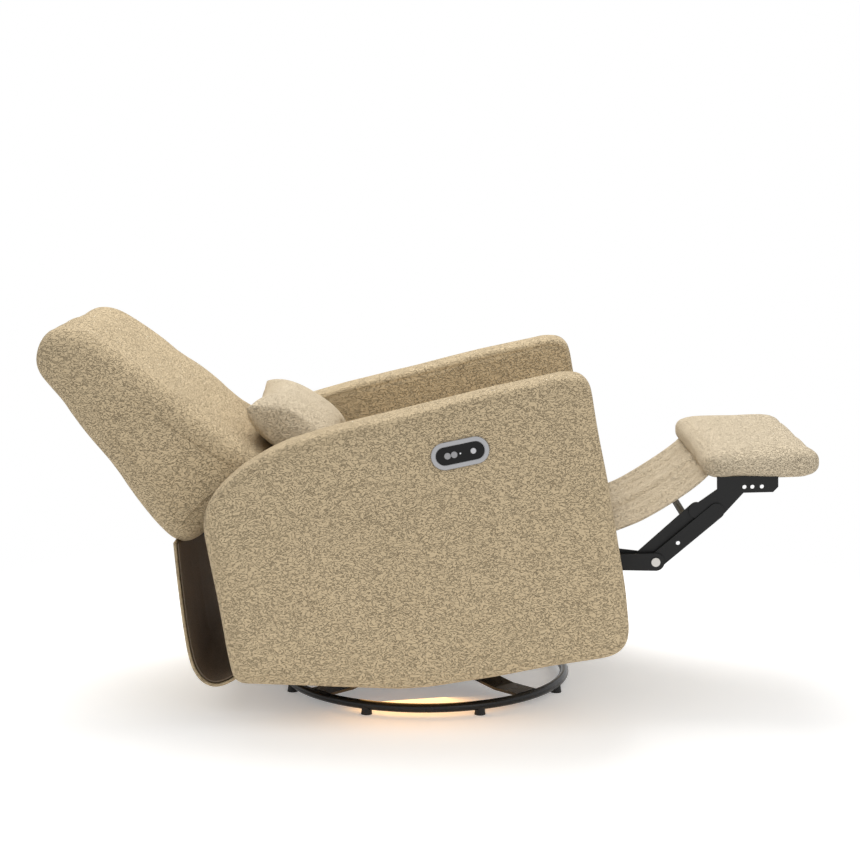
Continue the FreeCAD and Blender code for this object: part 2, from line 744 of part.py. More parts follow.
def make_chassis():
    """Mechanism plates, cross tubes and timber rails between the arms."""
    plate_mid = layer_y(0)
    rail_inner = size("seat_half_width") - size("side_rail_thickness")
    tilt = (size("tilt_pivot_x"), size("tilt_pivot_z"))
    lever = (size("lever_pivot_x"), below_deck("lever_pivot_drop"))
    lift_top = (size("lift_top_x"), size("lift_top_z"))
    rear_tube = (size("rear_tube_x"), below_deck("rear_tube_drop"))
    front_tube = (size("front_tube_x"), below_deck("front_tube_drop"))
    link_pair(
        "mechanism_plates",
        [(front_tube, size("chassis_tube_radius") + 2), (lever, 20.0), (lift_top, 20.0), (tilt, 26.0), (rear_tube, 22.0)],
        [tilt],
        plate_mid,
        CHASSIS,
        thickness_cell="mechanism_plate_thickness",
    )

    half = size("mechanism_plate_thickness") / 2
    tubes = []
    bracket_y = (size("drive_y") - 20.0, size("drive_y") + 16.0)
    for x, z in (front_tube, rear_tube):
        tube = cylinder_between(
            Vector(x, -plate_mid + half, z), Vector(x, plate_mid - half, z), size("chassis_tube_radius")
        )
        bore = cylinder_between(
            Vector(x, -plate_mid, z), Vector(x, plate_mid, z), size("chassis_tube_radius") - 2
        )
        tubes.append(tube.cut(bore).Solids[0])
    for y in bracket_y:
        cheek = cylinder_between(Vector(rear_tube[0], y, rear_tube[1]), Vector(rear_tube[0], y + 4, rear_tube[1]), 18)
        core = cylinder_between(Vector(rear_tube[0], y, rear_tube[1]), Vector(rear_tube[0], y + 4, rear_tube[1]),
                                size("chassis_tube_radius") - 1)
        tubes[1] = tubes[1].fuse(cheek.cut(core)).Solids[0]
    group("chassis_cross_tubes", tubes, CHASSIS)

    torque = (size("torque_tube_x"), below_deck("torque_tube_drop"))
    ears = []
    for side_name, side in SIDES.items():
        body = doc.addObject("PartDesign::Body", "torque_tube_ear_body_" + side_name)
        outline = new_sketch(body, "XZ_Plane", "ear_outline_" + side_name)
        add_slot(outline, torque, 14.5, front_tube, size("chassis_tube_radius") + 2)
        symmetric_pad(body, outline, "link_thickness", "ear_pad_" + side_name)
        drill(body, [torque], "Sizes.torque_tube_radius + Sizes.running_gap", "ear_bore_" + side_name)
        drill(body, [front_tube], "Sizes.chassis_tube_radius", "ear_seat_" + side_name)
        body.Placement = shifted(CHASSIS, side * layer_y(6))
        ears.append(body)
    pair("torque_tube_ears", ears)

    rail_points = [
        (size("arm_rear_x") + 26, 176, 12),
        (size("tilt_pivot_x") - 10, 112, 30),
        (240, 106, 20),
        (size("front_tube_x") + 16, 150, 20),
        (size("front_tube_x") + 16, size("deck_height") - size("seat_gap"), 6),
        (size("seat_rear_x") - 60, size("deck_height") - size("seat_gap"), 20),
        (size("back_pivot_x") + 30, below_deck("back_pivot_drop") + 26, 16),
        (size("back_pivot_x") - 26, below_deck("back_pivot_drop") + 26, 16),
        (size("arm_rear_x") + 26, 300, 20),
    ]
    rails = []
    for side in SIDES.values():
        wire = rounded_wire(rail_points, rail_inner if side > 0 else -size("seat_half_width"))
        rails.append(Part.Face(wire).extrude(Vector(0, size("side_rail_thickness"), 0)))
    group("side_rails", rails, CHASSIS)
    stretcher = Part.makeBox(22, 2 * size("seat_half_width"), 44, Vector(size("arm_rear_x") + 2, -size("seat_half_width"), 152))
    stretcher = stretcher.cut(rails[0]).cut(rails[1])
    solid_feature("rear_stretcher", stretcher.Solids[0], CHASSIS)

    rail_x = front_tube[0] + size("chassis_tube_radius") + size("front_rail_gap")
    cross_rail("front_rail", "front_rail_height", rail_x)
    cross_rail("rear_rail", "rear_rail_height", size("seat_rear_x") - 20)


def make_webbing():
    """Elastic webbing: straps front to back, and straps across on top of them."""
    width = size("webbing_width")
    thickness = size("webbing_thickness")
    deck = size("deck_height")
    rail_inner = size("seat_half_width") - size("side_rail_thickness")
    rear = size("seat_rear_x") - 10
    front = size("front_tube_x") + size("chassis_tube_radius") + 14
    straps = []
    for index in range(5):
        y = (index - 2) * 96.0
        straps.append(Part.makeBox(front - rear, width, thickness, Vector(rear, y - width / 2, deck)))
    for index in range(4):
        x = rear + 70 + index * 112
        straps.append(Part.makeBox(
            width, 2 * rail_inner + 16, thickness, Vector(x - width / 2, -rail_inner - 8, deck + thickness)))
    group("seat_webbing", straps, CHASSIS)


def make_seat():
    """Seat cushion: crowned, rounded nose that drops in front of the rail."""
    low = size("deck_height") + 2 * size("webbing_thickness") + size("seat_gap")
    top = low + size("seat_thickness") - size("seat_crown")
    nose = size("front_tube_x") + size("chassis_tube_radius") + size("front_rail_gap") + size("front_rail_thickness") + size("seat_gap")
    front = size("seat_front_x")
    rear = size("seat_rear_x")
    outline = [
        (rear, low, 14),
        (nose, low, 6),
        (nose, low - size("seat_nose_drop"), 6),
        (front, low - size("seat_nose_drop"), 12),
        (front, top, 42),
        (rear, top - 6, 30),
    ]
    half = size("seat_half_width") - size("cushion_side_gap")
    solid_feature("seat_cushion", flat_bottom_cushion(outline, half, low), CHASSIS)


def flat_bottom_cushion(outline, half, low):
    """A seat cushion lofted across, with only its top crowned."""
    crown = size("seat_crown")
    sections = []
    stations = [
        (half, 14.0, 20.0), (half - 5, 6.0, 8.0), (half - 18, 1.0, 2.0), (half - 60, 0.0, -0.5 * crown), (0.0, 0.0, -crown)
    ]
    ordered = [(-y, s, t) for y, s, t in stations] + [(y, s, t) for y, s, t in reversed(stations[:-1])]
    for y, draw, drop in ordered:
        points = []
        for x, z, radius in outline:
            if x == outline[0][0]:
                x = x + draw
            if x == outline[3][0]:
                x = x - draw
            if z > low + 20:
                z = z - drop
            points.append((x, z, radius))
        sections.append(rounded_wire(points, y))
    return Part.makeLoft(sections, True, True)


def arm_outline():
    """Side outline of an arm, from its lower rear corner round by the front."""
    front = size("arm_front_x")
    rear = size("arm_rear_x")
    top = size("arm_top_z")
    low = size("arm_bottom_z")
    return [
        (rear, low + 70, 26),
        (-64, low - 2, 60),
        (front, low, 40),
        (front, top, 28),
        (200, top, 240),
        (-190, top - 28, 160),
        (-292, top - 54, 120),
        (rear, top - 140, 80),
    ]


def make_arms():
    """Each arm is a timber core inside an upholstered cover, closed all round."""
    inner = size("seat_half_width")
    outer = inner + size("arm_thickness")
    padding = size("arm_padding")
    edge = size("arm_edge_radius")
    for side_name, side in SIDES.items():
        stations = [
            (inner, edge * 0.9), (inner + edge * 0.3, edge * 0.28), (inner + edge, 0.0),
            (outer - edge, 0.0), (outer - edge * 0.3, edge * 0.28), (outer, edge * 0.9),
        ]
        sections = [rounded_wire(arm_outline(), side * y, shrink) for y, shrink in stations]
        cover = Part.makeLoft(sections, True, True)
        start_y = side * (inner + padding * 0.5)
        width = side * (size("arm_thickness") - padding * 1.5)
        core = Part.Face(rounded_wire(arm_outline(), start_y, padding)).extrude(Vector(0, width, 0))
        if side < 0:
            pocket = panel_pocket()
            core = core.cut(pocket)
            cover = cover.cut(pocket)
        cover = cover.cut(Part.Face(rounded_wire(arm_outline(), start_y, padding)).extrude(Vector(0, width, 0)))
        solid_feature("arm_core_" + side_name, core.Solids[0], CHASSIS)
        solid_feature("arm_cover_" + side_name, cover.Solids[0], CHASSIS)


def panel_place():
    """Frame of the control panel: x along it, y into the arm, z across it."""
    outer = -(size("seat_half_width") + size("arm_thickness"))
    return Placement(
        Vector(size("panel_x"), outer, size("arm_top_z") - size("panel_drop")), Rotation(Vector(0, 1, 0), -size("panel_angle"))
    )


def stadium(length, height, y_low, y_high):
    """A straight bar with half-round ends, in the panel's frame."""
    radius = height / 2
    half = length / 2 - radius
    wire = Part.Wire([
        Part.LineSegment(Vector(-half, y_low, -radius), Vector(half, y_low, -radius)).toShape(),
        Part.Arc(Vector(half, y_low, -radius), Vector(half + radius, y_low, 0), Vector(half, y_low, radius)).toShape(),
        Part.LineSegment(Vector(half, y_low, radius), Vector(-half, y_low, radius)).toShape(),
        Part.Arc(Vector(-half, y_low, radius), Vector(-half - radius, y_low, 0), Vector(-half, y_low, -radius)).toShape(),
    ])
    return Part.Face(wire).extrude(Vector(0, y_high - y_low, 0))


def panel_pocket():
    """The pocket that the control panel takes in the arm."""
    clearance = 2.0
    shape = stadium(
        size("panel_length") + clearance, size("panel_height") + clearance, -size("panel_rim"), size("panel_depth")
    )
    shape.Placement = panel_place()
    return shape


def make_panel():
    """Control panel: cup, bright bezel, dark plate, lamp and three push buttons."""
    length = size("panel_length")
    height = size("panel_height")
    rim = size("panel_rim")
    wall = size("panel_wall")
    depth = size("panel_depth")
    proud = size("panel_proud")
    place = CHASSIS.multiply(panel_place())
    inner_length = length - 2 * rim
    inner_height = height - 2 * rim
    cup = stadium(length - 2, height - 2, 0.6, depth - 0.5)
    cup = cup.cut(stadium(inner_length, inner_height, -5, depth - 0.5 - wall))
    solid_feature("control_cup", cup, place)

    bezel = stadium(length + 6, height + 6, -proud, 0)
    bezel = bezel.cut(stadium(inner_length + 1, inner_height + 1, -10, 10))
    rim_edges = [edge for edge in bezel.Edges if edge.BoundBox.YMax < -proud + 0.01]
    bezel = bezel.makeChamfer(1.2, rim_edges)
    inner_ring = stadium(inner_length + 1, inner_height + 1, 0, 0.6)
    bezel_back = stadium(length - 2, height - 2, 0, 0.6).cut(inner_ring)
    bezel = bezel.fuse(bezel_back).removeSplitter()
    solid_feature("control_bezel", bezel.Solids[0], place)

    plate = stadium(inner_length, inner_height, -1.0, 2.0)
    spacing = size("button_spacing")
    home_x = length * 0.24
    pair_x = -length * 0.17
    gap = size("button_gap")
    buttons = [
        ("button_open", pair_x - spacing / 2, size("button_radius")),
        ("button_close", pair_x + spacing / 2, size("button_radius")),
        ("button_home", home_x, size("home_button_radius")),
    ]
    led_x = pair_x + spacing / 2 + size("button_radius") + 5.5
    for _, x, radius in buttons:
        plate = plate.cut(Part.makeCylinder(radius + gap, 20, Vector(x, -10, 0), Vector(0, 1, 0)))
    led_radius = size("led_radius")
    plate = plate.cut(Part.makeCylinder(led_radius, 20, Vector(led_x, -10, 0), Vector(0, 1, 0)))
    solid_feature("control_plate", plate, place)
    led = Part.makeCylinder(led_radius, 4, Vector(led_x, -1.4, 0), Vector(0, 1, 0))
    solid_feature("status_lamp", led, place)
    for name, x, radius in buttons:
        cap = Part.makeCylinder(radius, size("button_proud") + 5, Vector(x, -1.0 - size("button_proud"), 0), Vector(0, 1, 0))
        front_edges = [edge for edge in cap.Edges if edge.BoundBox.YMax < -1.0 - size("button_proud") + 0.01]
        cap = cap.makeChamfer(0.8, front_edges)
        stem = Part.makeCylinder(radius - 2.5, 12, Vector(x, 0, 0), Vector(0, 1, 0))
        solid_feature(name, cap.fuse(stem).removeSplitter(), place)


def back_outline():
    """Side outline of the upright backrest: upright rear face, front face leaning forward lower down."""
    rear = size("back_rear_x")
    low = (size("deck_height") + size("back_lift"))
    top = (size("deck_height") + size("back_lift") + size("back_height"))
    return [
        (rear, low + 4, 34),
        (-300, low - 10, 60),
        (-226, low - 30, 40),
        (-198, low + 40, 30),
        (-232, low + 145, 300),
        (-281, low + 330, 300),
        (-330, top, 52),
        (rear, top, 50),
    ]


def make_back():
    """Backrest: upholstered cushion over a timber frame, on hinge plates."""
    cushion = padded_loft(back_outline(), back_half_width(), size("back_edge_radius"), size("back_crown"))
    frame_x = size("back_rear_x") + 30
    frame_low = (size("deck_height") + size("back_lift")) + 24
    frame_top = (size("deck_height") + size("back_lift") + size("back_height")) - 70
    half = back_half_width() - 62
    posts = Part.makeBox(40, 2 * half, frame_top - frame_low, Vector(frame_x, -half, frame_low))
    window = Part.makeBox(60, 2 * half - 90, frame_top - frame_low - 130, Vector(frame_x - 10, -half + 45, frame_low + 65))
    frame = posts.cut(window)
    cushion = cushion.cut(frame)
    hinge_y = back_half_width() - 52
    hinge_half = 2.0
    pivot = (size("back_pivot_x"), below_deck("back_pivot_drop"))
    plates = []
    for side in (1, -1):
        wire = rounded_wire(
            [(pivot[0] - 20, pivot[1] - 20, 18), (pivot[0] + 20, pivot[1] - 20, 18),
             (pivot[0] + 20, pivot[1] + 30, 10), (frame_x + 40, frame_low + 60, 6),
             (frame_x + 6, frame_low + 60, 6), (frame_x + 6, frame_low, 10)],
            side * hinge_y - hinge_half)
        plate = Part.Face(wire).extrude(Vector(0, 2 * hinge_half, 0))
        plate = plate.cut(cylinder_between(
            Vector(pivot[0], -400, pivot[1]), Vector(pivot[0], 400, pivot[1]), size("pin_radius") + size("running_gap")))
        plates.append(plate)
    for plate in plates:
        cushion = cushion.cut(plate)
    solid_feature("back_frame", frame, BACK)
    solid_feature("back_cushion", cushion.Solids[0], BACK)
    group("back_hinge_plates", plates, BACK)


def make_back_hinge_ears():
    """Ears on the timber side rails that carry the backrest's pivot pins."""
    pivot = (size("back_pivot_x"), below_deck("back_pivot_drop"))
    hinge_y = back_half_width() - 52
    gap = size("body_gap")
    rail_inner = size("seat_half_width") - size("side_rail_thickness")
    ears = []
    for side in (1, -1):
        y_low = hinge_y + 2.0 + gap
        ear = cylinder_between(
            Vector(pivot[0], side * y_low, pivot[1]), Vector(pivot[0], side * rail_inner, pivot[1]), 16.0)
        shank = cylinder_between(
            Vector(pivot[0], side * (hinge_y - 4.0), pivot[1]), Vector(pivot[0], side * rail_inner, pivot[1]),
            size("pin_radius"))
        ears.append(ear.fuse(shank).removeSplitter().Solids[0])
    group("back_pivot_bosses", ears, CHASSIS)


def make_pillow():
    """Loose lumbar pillow with pinched seams, leaning on the backrest."""
    half_length = size("pillow_length") / 2
    half_thick = size("pillow_thickness") / 2
    face = half_thick * 0.95
    corner = half_thick * 0.55
    outline = [
        (-face, -half_length, corner),
        (face, -half_length, corner),
        (face, half_length, corner),
        (-face, half_length, corner),
    ]
    shape = padded_loft(outline, size("pillow_half_width"), size("pillow_pinch"), size("pillow_crown"))
    lean = Rotation(Vector(0, 1, 0), -size("pillow_lean"))
    place = Placement(Vector(size("pillow_x"), 0, size("deck_height") + size("pillow_lift")), lean)
    solid_feature("lumbar_pillow", shape, place)


def footrest_points():
    """Pivots of the footrest linkage in the upright chair body."""
    return {
        "lever": (size("lever_pivot_x"), below_deck("lever_pivot_drop")),
        "knee": (size("knee_x"), below_deck("knee_drop")),
        "link_top": (size("link_top_x"), below_deck("link_top_drop")),
        "torque": (size("torque_tube_x"), below_deck("torque_tube_drop")),
        "second_knee": (size("second_knee_x"), below_deck("second_knee_drop")),
        "second_top": (size("second_top_x"), below_deck("second_top_drop")),
    }


def between(start, end, share):
    """The point at a share of the way from one point to another."""
    return start[0] + (end[0] - start[0]) * share, start[1] + (end[1] - start[1]) * share


def make_footrest_links():
    """Two levers and two long links each side, in five flat layers, with their pins."""
    at = footrest_points()
    radius = size("link_radius")
    lobe = size("lobe_radius")
    elbow = (at["lever"][0] + 62, at["knee"][1] + 14)
    second_elbow = (at["torque"][0] - 6, at["torque"][1] - 76)
    link_pair("footrest_levers", [(at["lever"], 17.0), (elbow, radius), (at["knee"], lobe)],
              [at["lever"], at["knee"]], layer_y(1), CHASSIS)
    spare = between(at["knee"], at["link_top"], size("spare_hole_share"))
    link_pair("footrest_links", [(at["knee"], radius), (at["link_top"], radius)],
              [at["knee"], at["link_top"]], layer_y(2), CHASSIS, spare_holes=[spare])
    link_pair("second_links", [(at["second_knee"], radius - 2), (at["second_top"], radius)],
              [at["second_top"]], layer_y(4), CHASSIS)
    link_pair("second_levers", [(at["torque"], 15.0), (second_elbow, radius - 2), (at["second_knee"], radius)],
              [at["torque"]], layer_y(5), CHASSIS, hole_expression="Sizes.torque_tube_radius")
    half = size("link_thickness") / 2
    knee_pins = []
    lever_pins = []
    for side in (1, -1):
        knee_pins.append(pin(at["knee"][0], at["knee"][1], layer_y(2) - half, layer_y(1) + half, side, "outer"))
        lever_pins.append(cylinder_between(
            Vector(at["lever"][0], side * (layer_y(1) - half), at["lever"][1]),
            Vector(at["lever"][0], side * (layer_y(0) - half), at["lever"][1]),
            size("pin_radius")))
        lever_pins.append(cylinder_between(
            Vector(size("lift_top_x"), side * (layer_y(1) - half), size("lift_top_z")),
            Vector(size("lift_top_x"), side * (layer_y(0) - half), size("lift_top_z")),
            size("pin_radius")))
    group("knee_pins", knee_pins, CHASSIS)
    group("lever_pins", lever_pins, CHASSIS)

    torque_half = layer_y(5) + half
    tube = cylinder_between(
        Vector(at["torque"][0], -torque_half, at["torque"][1]),
        Vector(at["torque"][0], torque_half, at["torque"][1]), size("torque_tube_radius"))
    dx, dz = turn(size("crank_radius"), 0, size("crank_angle"))
    crank_end = (at["torque"][0] + dx, at["torque"][1] + dz)
    crank_y = size("drive_y") + size("drive_rod_radius") + size("body_gap")
    crank = Part.makeCylinder(14.5, half * 2, Vector(at["torque"][0], crank_y, at["torque"][1]), Vector(0, 1, 0))
    arm = Part.makeBox(size("crank_radius"), half * 2, 16, Vector(0, crank_y, -8))
    arm.Placement = Placement(Vector(at["torque"][0], 0, at["torque"][1]), Rotation(Vector(0, 1, 0), -size("crank_angle")))
    tip = Part.makeCylinder(8.0, half * 2, Vector(crank_end[0], crank_y, crank_end[1]), Vector(0, 1, 0))
    tube = tube.fuse([crank, arm, tip]).removeSplitter()
    solid_feature("torque_tube", tube, CHASSIS)

    top = at["second_top"]
    foot = at["second_knee"]
    share = size("cross_bar_setback") / math.hypot(foot[0] - top[0], foot[1] - top[1])
    bar_x, bar_z = between(top, foot, share)
    bar_half = layer_y(4) - half
    bar = cylinder_between(Vector(bar_x, -bar_half, bar_z), Vector(bar_x, bar_half, bar_z), size("cross_bar_radius"))
    solid_feature("footrest_cross_bar", bar, CHASSIS)
    return crank_end


def to_pad(x, z):
    """A point of the upright chair body in the footrest pad's own frame."""
    return turn(x - size("pad_rear_x"), z - below_deck("pad_rear_drop"), size("pad_drop"))


def make_ottoman():
    """Footrest pad on its board, on two brackets with drilled flanges."""
    at = footrest_points()
    first = to_pad(*at["link_top"])
    second = to_pad(*at["second_top"])
    holes = [(74.0, -21.0), (89.0, -21.0), (107.0, -21.0)]
    brackets = []
    for side_name, side in SIDES.items():
        body = doc.addObject("PartDesign::Body", "ottoman_bracket_body_" + side_name)
        leg = new_sketch(body, "XZ_Plane", "bracket_leg_" + side_name)
        add_slot(leg, second, 15.0, first, 15.0)
        symmetric_pad(body, leg, "link_thickness", "bracket_leg_pad_" + side_name)
        web = new_sketch(body, "XZ_Plane", "bracket_web_" + side_name)
        points = [
            Vector(second[0] + 2, second[1] + 14.5, 0), Vector(22, -24, 0), Vector(22, -0.3, 0),
            Vector(138, -0.3, 0), Vector(138, -22, 0), Vector(128, -32, 0), Vector(72, -32, 0),
            Vector(first[0] + 12, first[1] - 9, 0), Vector(first[0], first[1] - 14, 0),
        ]
        for index in range(len(points)):
            web.addGeometry(Part.LineSegment(points[index], points[(index + 1) % len(points)]), False)
        symmetric_pad(body, web, "link_thickness", "bracket_web_pad_" + side_name)
        drill(body, [first, second], "Sizes.pin_radius", "bracket_pivots_" + side_name)
        drill(body, holes, "Sizes.bracket_hole_radius", "bracket_holes_" + side_name)
        body.Placement = shifted(FOOTPAD, side * layer_y(3))
        brackets.append(body)
    pair("ottoman_brackets", brackets)

    half = size("link_thickness") / 2
    pins = []
    for side in (1, -1):
        for point, inner_layer, outer_layer in ((first, 3, 2), (second, 4, 3)):
            pins.append(cylinder_between(
                Vector(point[0], side * (layer_y(inner_layer) - half), point[1]),
                Vector(point[0], side * (layer_y(outer_layer) + half), point[1]), size("pin_radius")))
    group("ottoman_pins", pins, FOOTPAD)

    board_low = 0.0
    length = size("pad_length")
    half_width = pad_half_width()
    board = Part.makeBox(length - 44, 2 * half_width - 44, size("pad_board_thickness"), Vector(22, -half_width + 22, board_low))
    corners = [edge for edge in board.Edges if abs(edge.BoundBox.ZLength - size("pad_board_thickness")) < 0.1]
    board = board.makeFillet(25, corners)
    solid_feature("footrest_board", board, FOOTPAD)

    pad = footrest_cushion(length, half_width)
    pad = pad.cut(board)
    solid_feature("footrest_pad", pad.Solids[0], FOOTPAD)


def footrest_cushion(length, half_width):
    """Pad as a loft upwards: rounded rectangles that swell at the waist and close in at the crown."""
    thickness = size("pad_thickness")
    corner = size("pad_corner_radius")
    sections = []
    for share, draw in ((0.0, 8.0), (0.12, 0.0), (0.42, -5.5), (0.72, 0.5), (0.92, 12.0), (1.0, 30.0)):
        sections.append(plan_wire(draw, length - draw, half_width - draw, thickness * share, corner - draw * 0.5))
    return Part.makeLoft(sections, True, True)


def plan_wire(x_low, x_high, half_width, z, radius):
    """A rounded rectangle seen from above, at one height."""
    points = [(x_low, -half_width), (x_high, -half_width), (x_high, half_width), (x_low, half_width)]
    flat = rounded_wire([(x, y, radius) for x, y in points], 0.0)
    flat.rotate(Vector(), Vector(1, 0, 0), 90)
    flat.translate(Vector(0, 0, z))
    return flat


def band_outline(path, thickness):
    """The outline of a band of cloth: a cornered path, and its parallel on the path's left side.

    Each point of the path is (x, z, radius of its corner). Corners that bend to the left lose the band's
    thickness from their radius on the far side, and those that bend to the right gain it.
    """
    far = []
    for index, (x, z, radius) in enumerate(path):
        here = max(index, 1)
        onward = min(index, len(path) - 2)
        ux, uz = heading_between(path[here - 1], path[here])
        vx, vz = heading_between(path[onward], path[onward + 1])
        reach = thickness / (1 + ux * vx + uz * vz)
        bend = ux * vz - uz * vx
        far_radius = radius - math.copysign(thickness, bend) if abs(bend) > 1e-9 else radius
        far.append((x - (uz + vz) * reach, z + (ux + vx) * reach, max(far_radius, 1.0)))
    return list(path) + far[::-1]


def heading_between(start, end):
    """Unit vector from one side-view point to another."""
    length = math.hypot(end[0] - start[0], end[1] - start[1])
    return (end[0] - start[0]) / length, (end[1] - start[1]) / length


def band(label, path, half_width, thickness, place):
    """A band of cloth carried across the chair as one solid."""
    wire = rounded_wire(band_outline(path, thickness), -half_width)
    return solid_feature(label, Part.Face(wire).extrude(Vector(0, 2 * half_width, 0)), place)


def make_cloth():
    """Cloth slung under the footrest, and the skirt that hangs behind the backrest."""
    hem = 1.0
    rail_x = size("front_tube_x") + size("chassis_tube_radius") + size("front_rail_gap")
    rail_low = size("deck_height") - size("front_rail_height") - 4 * size("seat_gap")
    slung = [
        (rail_x + size("front_rail_thickness") * 0.7, rail_low, hem),
        (size("cloth_rise_x"), below_deck("cloth_rise_drop"), 26.0),
        (size("cloth_sag_x"), below_deck("cloth_sag_drop"), 60.0),
        (size("cloth_edge_x"), below_deck("cloth_edge_drop"), 40.0),
        (size("pad_rear_x") - 1.5, below_deck("pad_rear_drop") + 1.0, hem),
    ]
    half_width = size("seat_half_width") - size("cloth_side_gap")
    band("leg_rest_cloth", slung, half_width, size("cloth_thickness"), CHASSIS)

    corner = size("skirt_corner")
    hanging = [
        (size("skirt_top_x"), size("skirt_top_z"), hem),
        (size("skirt_foot_x"), size("skirt_foot_z"), corner),
        ((size("skirt_foot_x") + size("skirt_front_x")) / 2, size("skirt_foot_z"), corner),
        (size("skirt_front_x"), size("skirt_front_z"), hem),
    ]
    half_width = size("seat_half_width") - size("skirt_side_gap")
    band("rear_flap", hanging, half_width, size("skirt_thickness"), UPRIGHT)


def make_drive(crank_end):
    """Electric linear drive between the rear cross tube and the crank of the torque tube."""
    rear = Vector(size("rear_tube_x"), size("drive_y"), below_deck("rear_tube_drop"))
    front = Vector(crank_end[0], size("drive_y"), crank_end[1])
    along = front.sub(rear)
    length = along.Length
    unit = Vector(along)
    unit.normalize()
    start = rear + unit * (size("chassis_tube_radius") + 10)
    tube_length = length * 0.62
    tube = Part.makeCylinder(size("drive_tube_radius"), tube_length, start, unit)
    gearbox = Part.makeBox(56, 52, 50, Vector(-28, -26, -25))
    gearbox = gearbox.makeFillet(8, gearbox.Edges)
    gearbox.Placement = Placement(start + unit * 34, Rotation(Vector(1, 0, 0), unit))
    motor = Part.makeCylinder(size("motor_radius"), size("motor_length"), start + unit * 40 + Vector(0, 0, -46), unit)
    housing = tube.fuse(gearbox).fuse(motor)
    bridge = Part.makeBox(40, 30, 40, Vector(-20, -15, -20))
    bridge.Placement = Placement(start + unit * 60 + Vector(0, 0, -24), Rotation(Vector(1, 0, 0), unit))
    housing = housing.fuse(bridge)
    bore = Part.makeCylinder(size("drive_rod_radius") + 0.1, tube_length, start + unit * 70, unit)
    housing = housing.cut(bore).removeSplitter()
    solid_feature("drive_housing", housing.Solids[0], CHASSIS)

    rod_start = start + unit * (70 + 60)
    rod_end = front - unit * 6
    rod = Part.makeCylinder(size("drive_rod_radius"), rod_end.sub(rod_start).Length, rod_start, unit)
    eye = cylinder_between(Vector(front.x, -6, front.z), Vector(front.x, 6, front.z), 8.0)
    solid_feature("drive_rod", rod.fuse(eye).removeSplitter(), CHASSIS)


def make_power_inlet():
    """Low-voltage power inlet in the rear stretcher, under the skirt."""
    rear = size("arm_rear_x") + 2
    body = Part.makeBox(14, 22, 16, Vector(rear - 14, 150, 166))
    body = body.makeFillet(2, [edge for edge in body.Edges if edge.BoundBox.XLength > 10])
    socket = Part.makeCylinder(4.0, 11, Vector(rear - 14, 161, 174), Vector(1, 0, 0))
    centre = Part.makeCylinder(1.0, 10, Vector(rear - 12, 161, 174), Vector(1, 0, 0))
    solid_feature("power_inlet", body.cut(socket).fuse(centre).removeSplitter(), CHASSIS)


def check_and_export():
    """Recompute, test every object and write one file per sub-part."""
    doc.recompute()
    for thing in doc.Objects:
        for word in ("Invalid", "Error"):
            if word in thing.State:
                raise RuntimeError("%s is %s" % (thing.Label, word))
    for thing in subparts:
        if thing.Shape.isNull() or not thing.Shape.isValid():
            raise RuntimeError("%s has no valid shape" % thing.Label)
        if thing.Shape.Volume <= 0:
            raise RuntimeError("%s has no volume" % thing.Label)
    os.makedirs("parts", exist_ok=True)
    for thing in subparts:
        thing.Shape.exportStep("parts/%s.step" % thing.Label)
    print("%d sub-parts" % len(subparts))


make_base()
swivel_top = make_swivel()
stand_top = make_stand(swivel_top)
glide_rail_y = make_glide_links(stand_top)
make_platform(glide_rail_y)
make_lift_links()
make_chassis()
make_webbing()
make_seat()
make_arms()
make_panel()
make_back()
make_back_hinge_ears()
make_pillow()
crank_tip = make_footrest_links()
make_ottoman()
make_cloth()
make_drive(crank_tip)
make_power_inlet()
check_and_export()
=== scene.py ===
"""Swivel glider recliner, fully reclined with its footrest out: upholstery, finishes, light and camera."""

import json
import math

import bpy
import numpy as np
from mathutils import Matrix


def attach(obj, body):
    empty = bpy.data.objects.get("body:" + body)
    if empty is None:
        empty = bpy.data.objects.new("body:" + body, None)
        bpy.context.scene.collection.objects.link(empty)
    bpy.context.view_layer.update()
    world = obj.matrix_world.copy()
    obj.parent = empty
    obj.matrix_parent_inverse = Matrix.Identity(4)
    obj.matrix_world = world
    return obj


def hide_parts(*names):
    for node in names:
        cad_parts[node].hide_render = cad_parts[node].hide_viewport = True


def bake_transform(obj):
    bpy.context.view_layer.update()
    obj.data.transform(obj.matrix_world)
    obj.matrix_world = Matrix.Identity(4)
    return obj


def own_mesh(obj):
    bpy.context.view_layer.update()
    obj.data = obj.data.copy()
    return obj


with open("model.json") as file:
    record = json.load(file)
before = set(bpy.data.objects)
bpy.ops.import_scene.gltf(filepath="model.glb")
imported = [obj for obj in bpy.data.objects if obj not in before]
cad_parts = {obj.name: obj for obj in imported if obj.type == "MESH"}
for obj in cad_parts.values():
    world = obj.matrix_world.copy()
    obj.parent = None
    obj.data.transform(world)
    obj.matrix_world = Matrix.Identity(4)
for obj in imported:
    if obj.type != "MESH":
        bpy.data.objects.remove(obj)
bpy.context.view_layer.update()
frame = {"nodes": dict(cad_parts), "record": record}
NODES = frame["nodes"]

# Shapes are written in millimetres and become metres when their mesh is made.
MM = 0.001

# The chair body leans back about its tilt pivot, given as (x, z) in the side view.
SEAT_TILT = math.radians(10.0)
TILT_PIVOT = (-50.0, 215.0)

# Rear lower corner of the footrest pad in the upright chair body, and how far its front end drops.
PAD_CORNER = (568.7, 354.7)
PAD_DROP = math.radians(8.4)

# Crosswise places of an arm's two faces.
ARM_INNER = 280.0
ARM_OUTER = 395.0

# Control panel on the right arm: its middle in the side view, its tilt, and the dent of the cover round it.
PANEL_CENTRE = (69.0, 529.5)
PANEL_TILT = math.radians(12.0)
PANEL_HALF_STRAIGHT = 28.0
PANEL_END_RADIUS = 25.0
PANEL_DENT = 5.0
PANEL_DENT_BLUR = 4.0

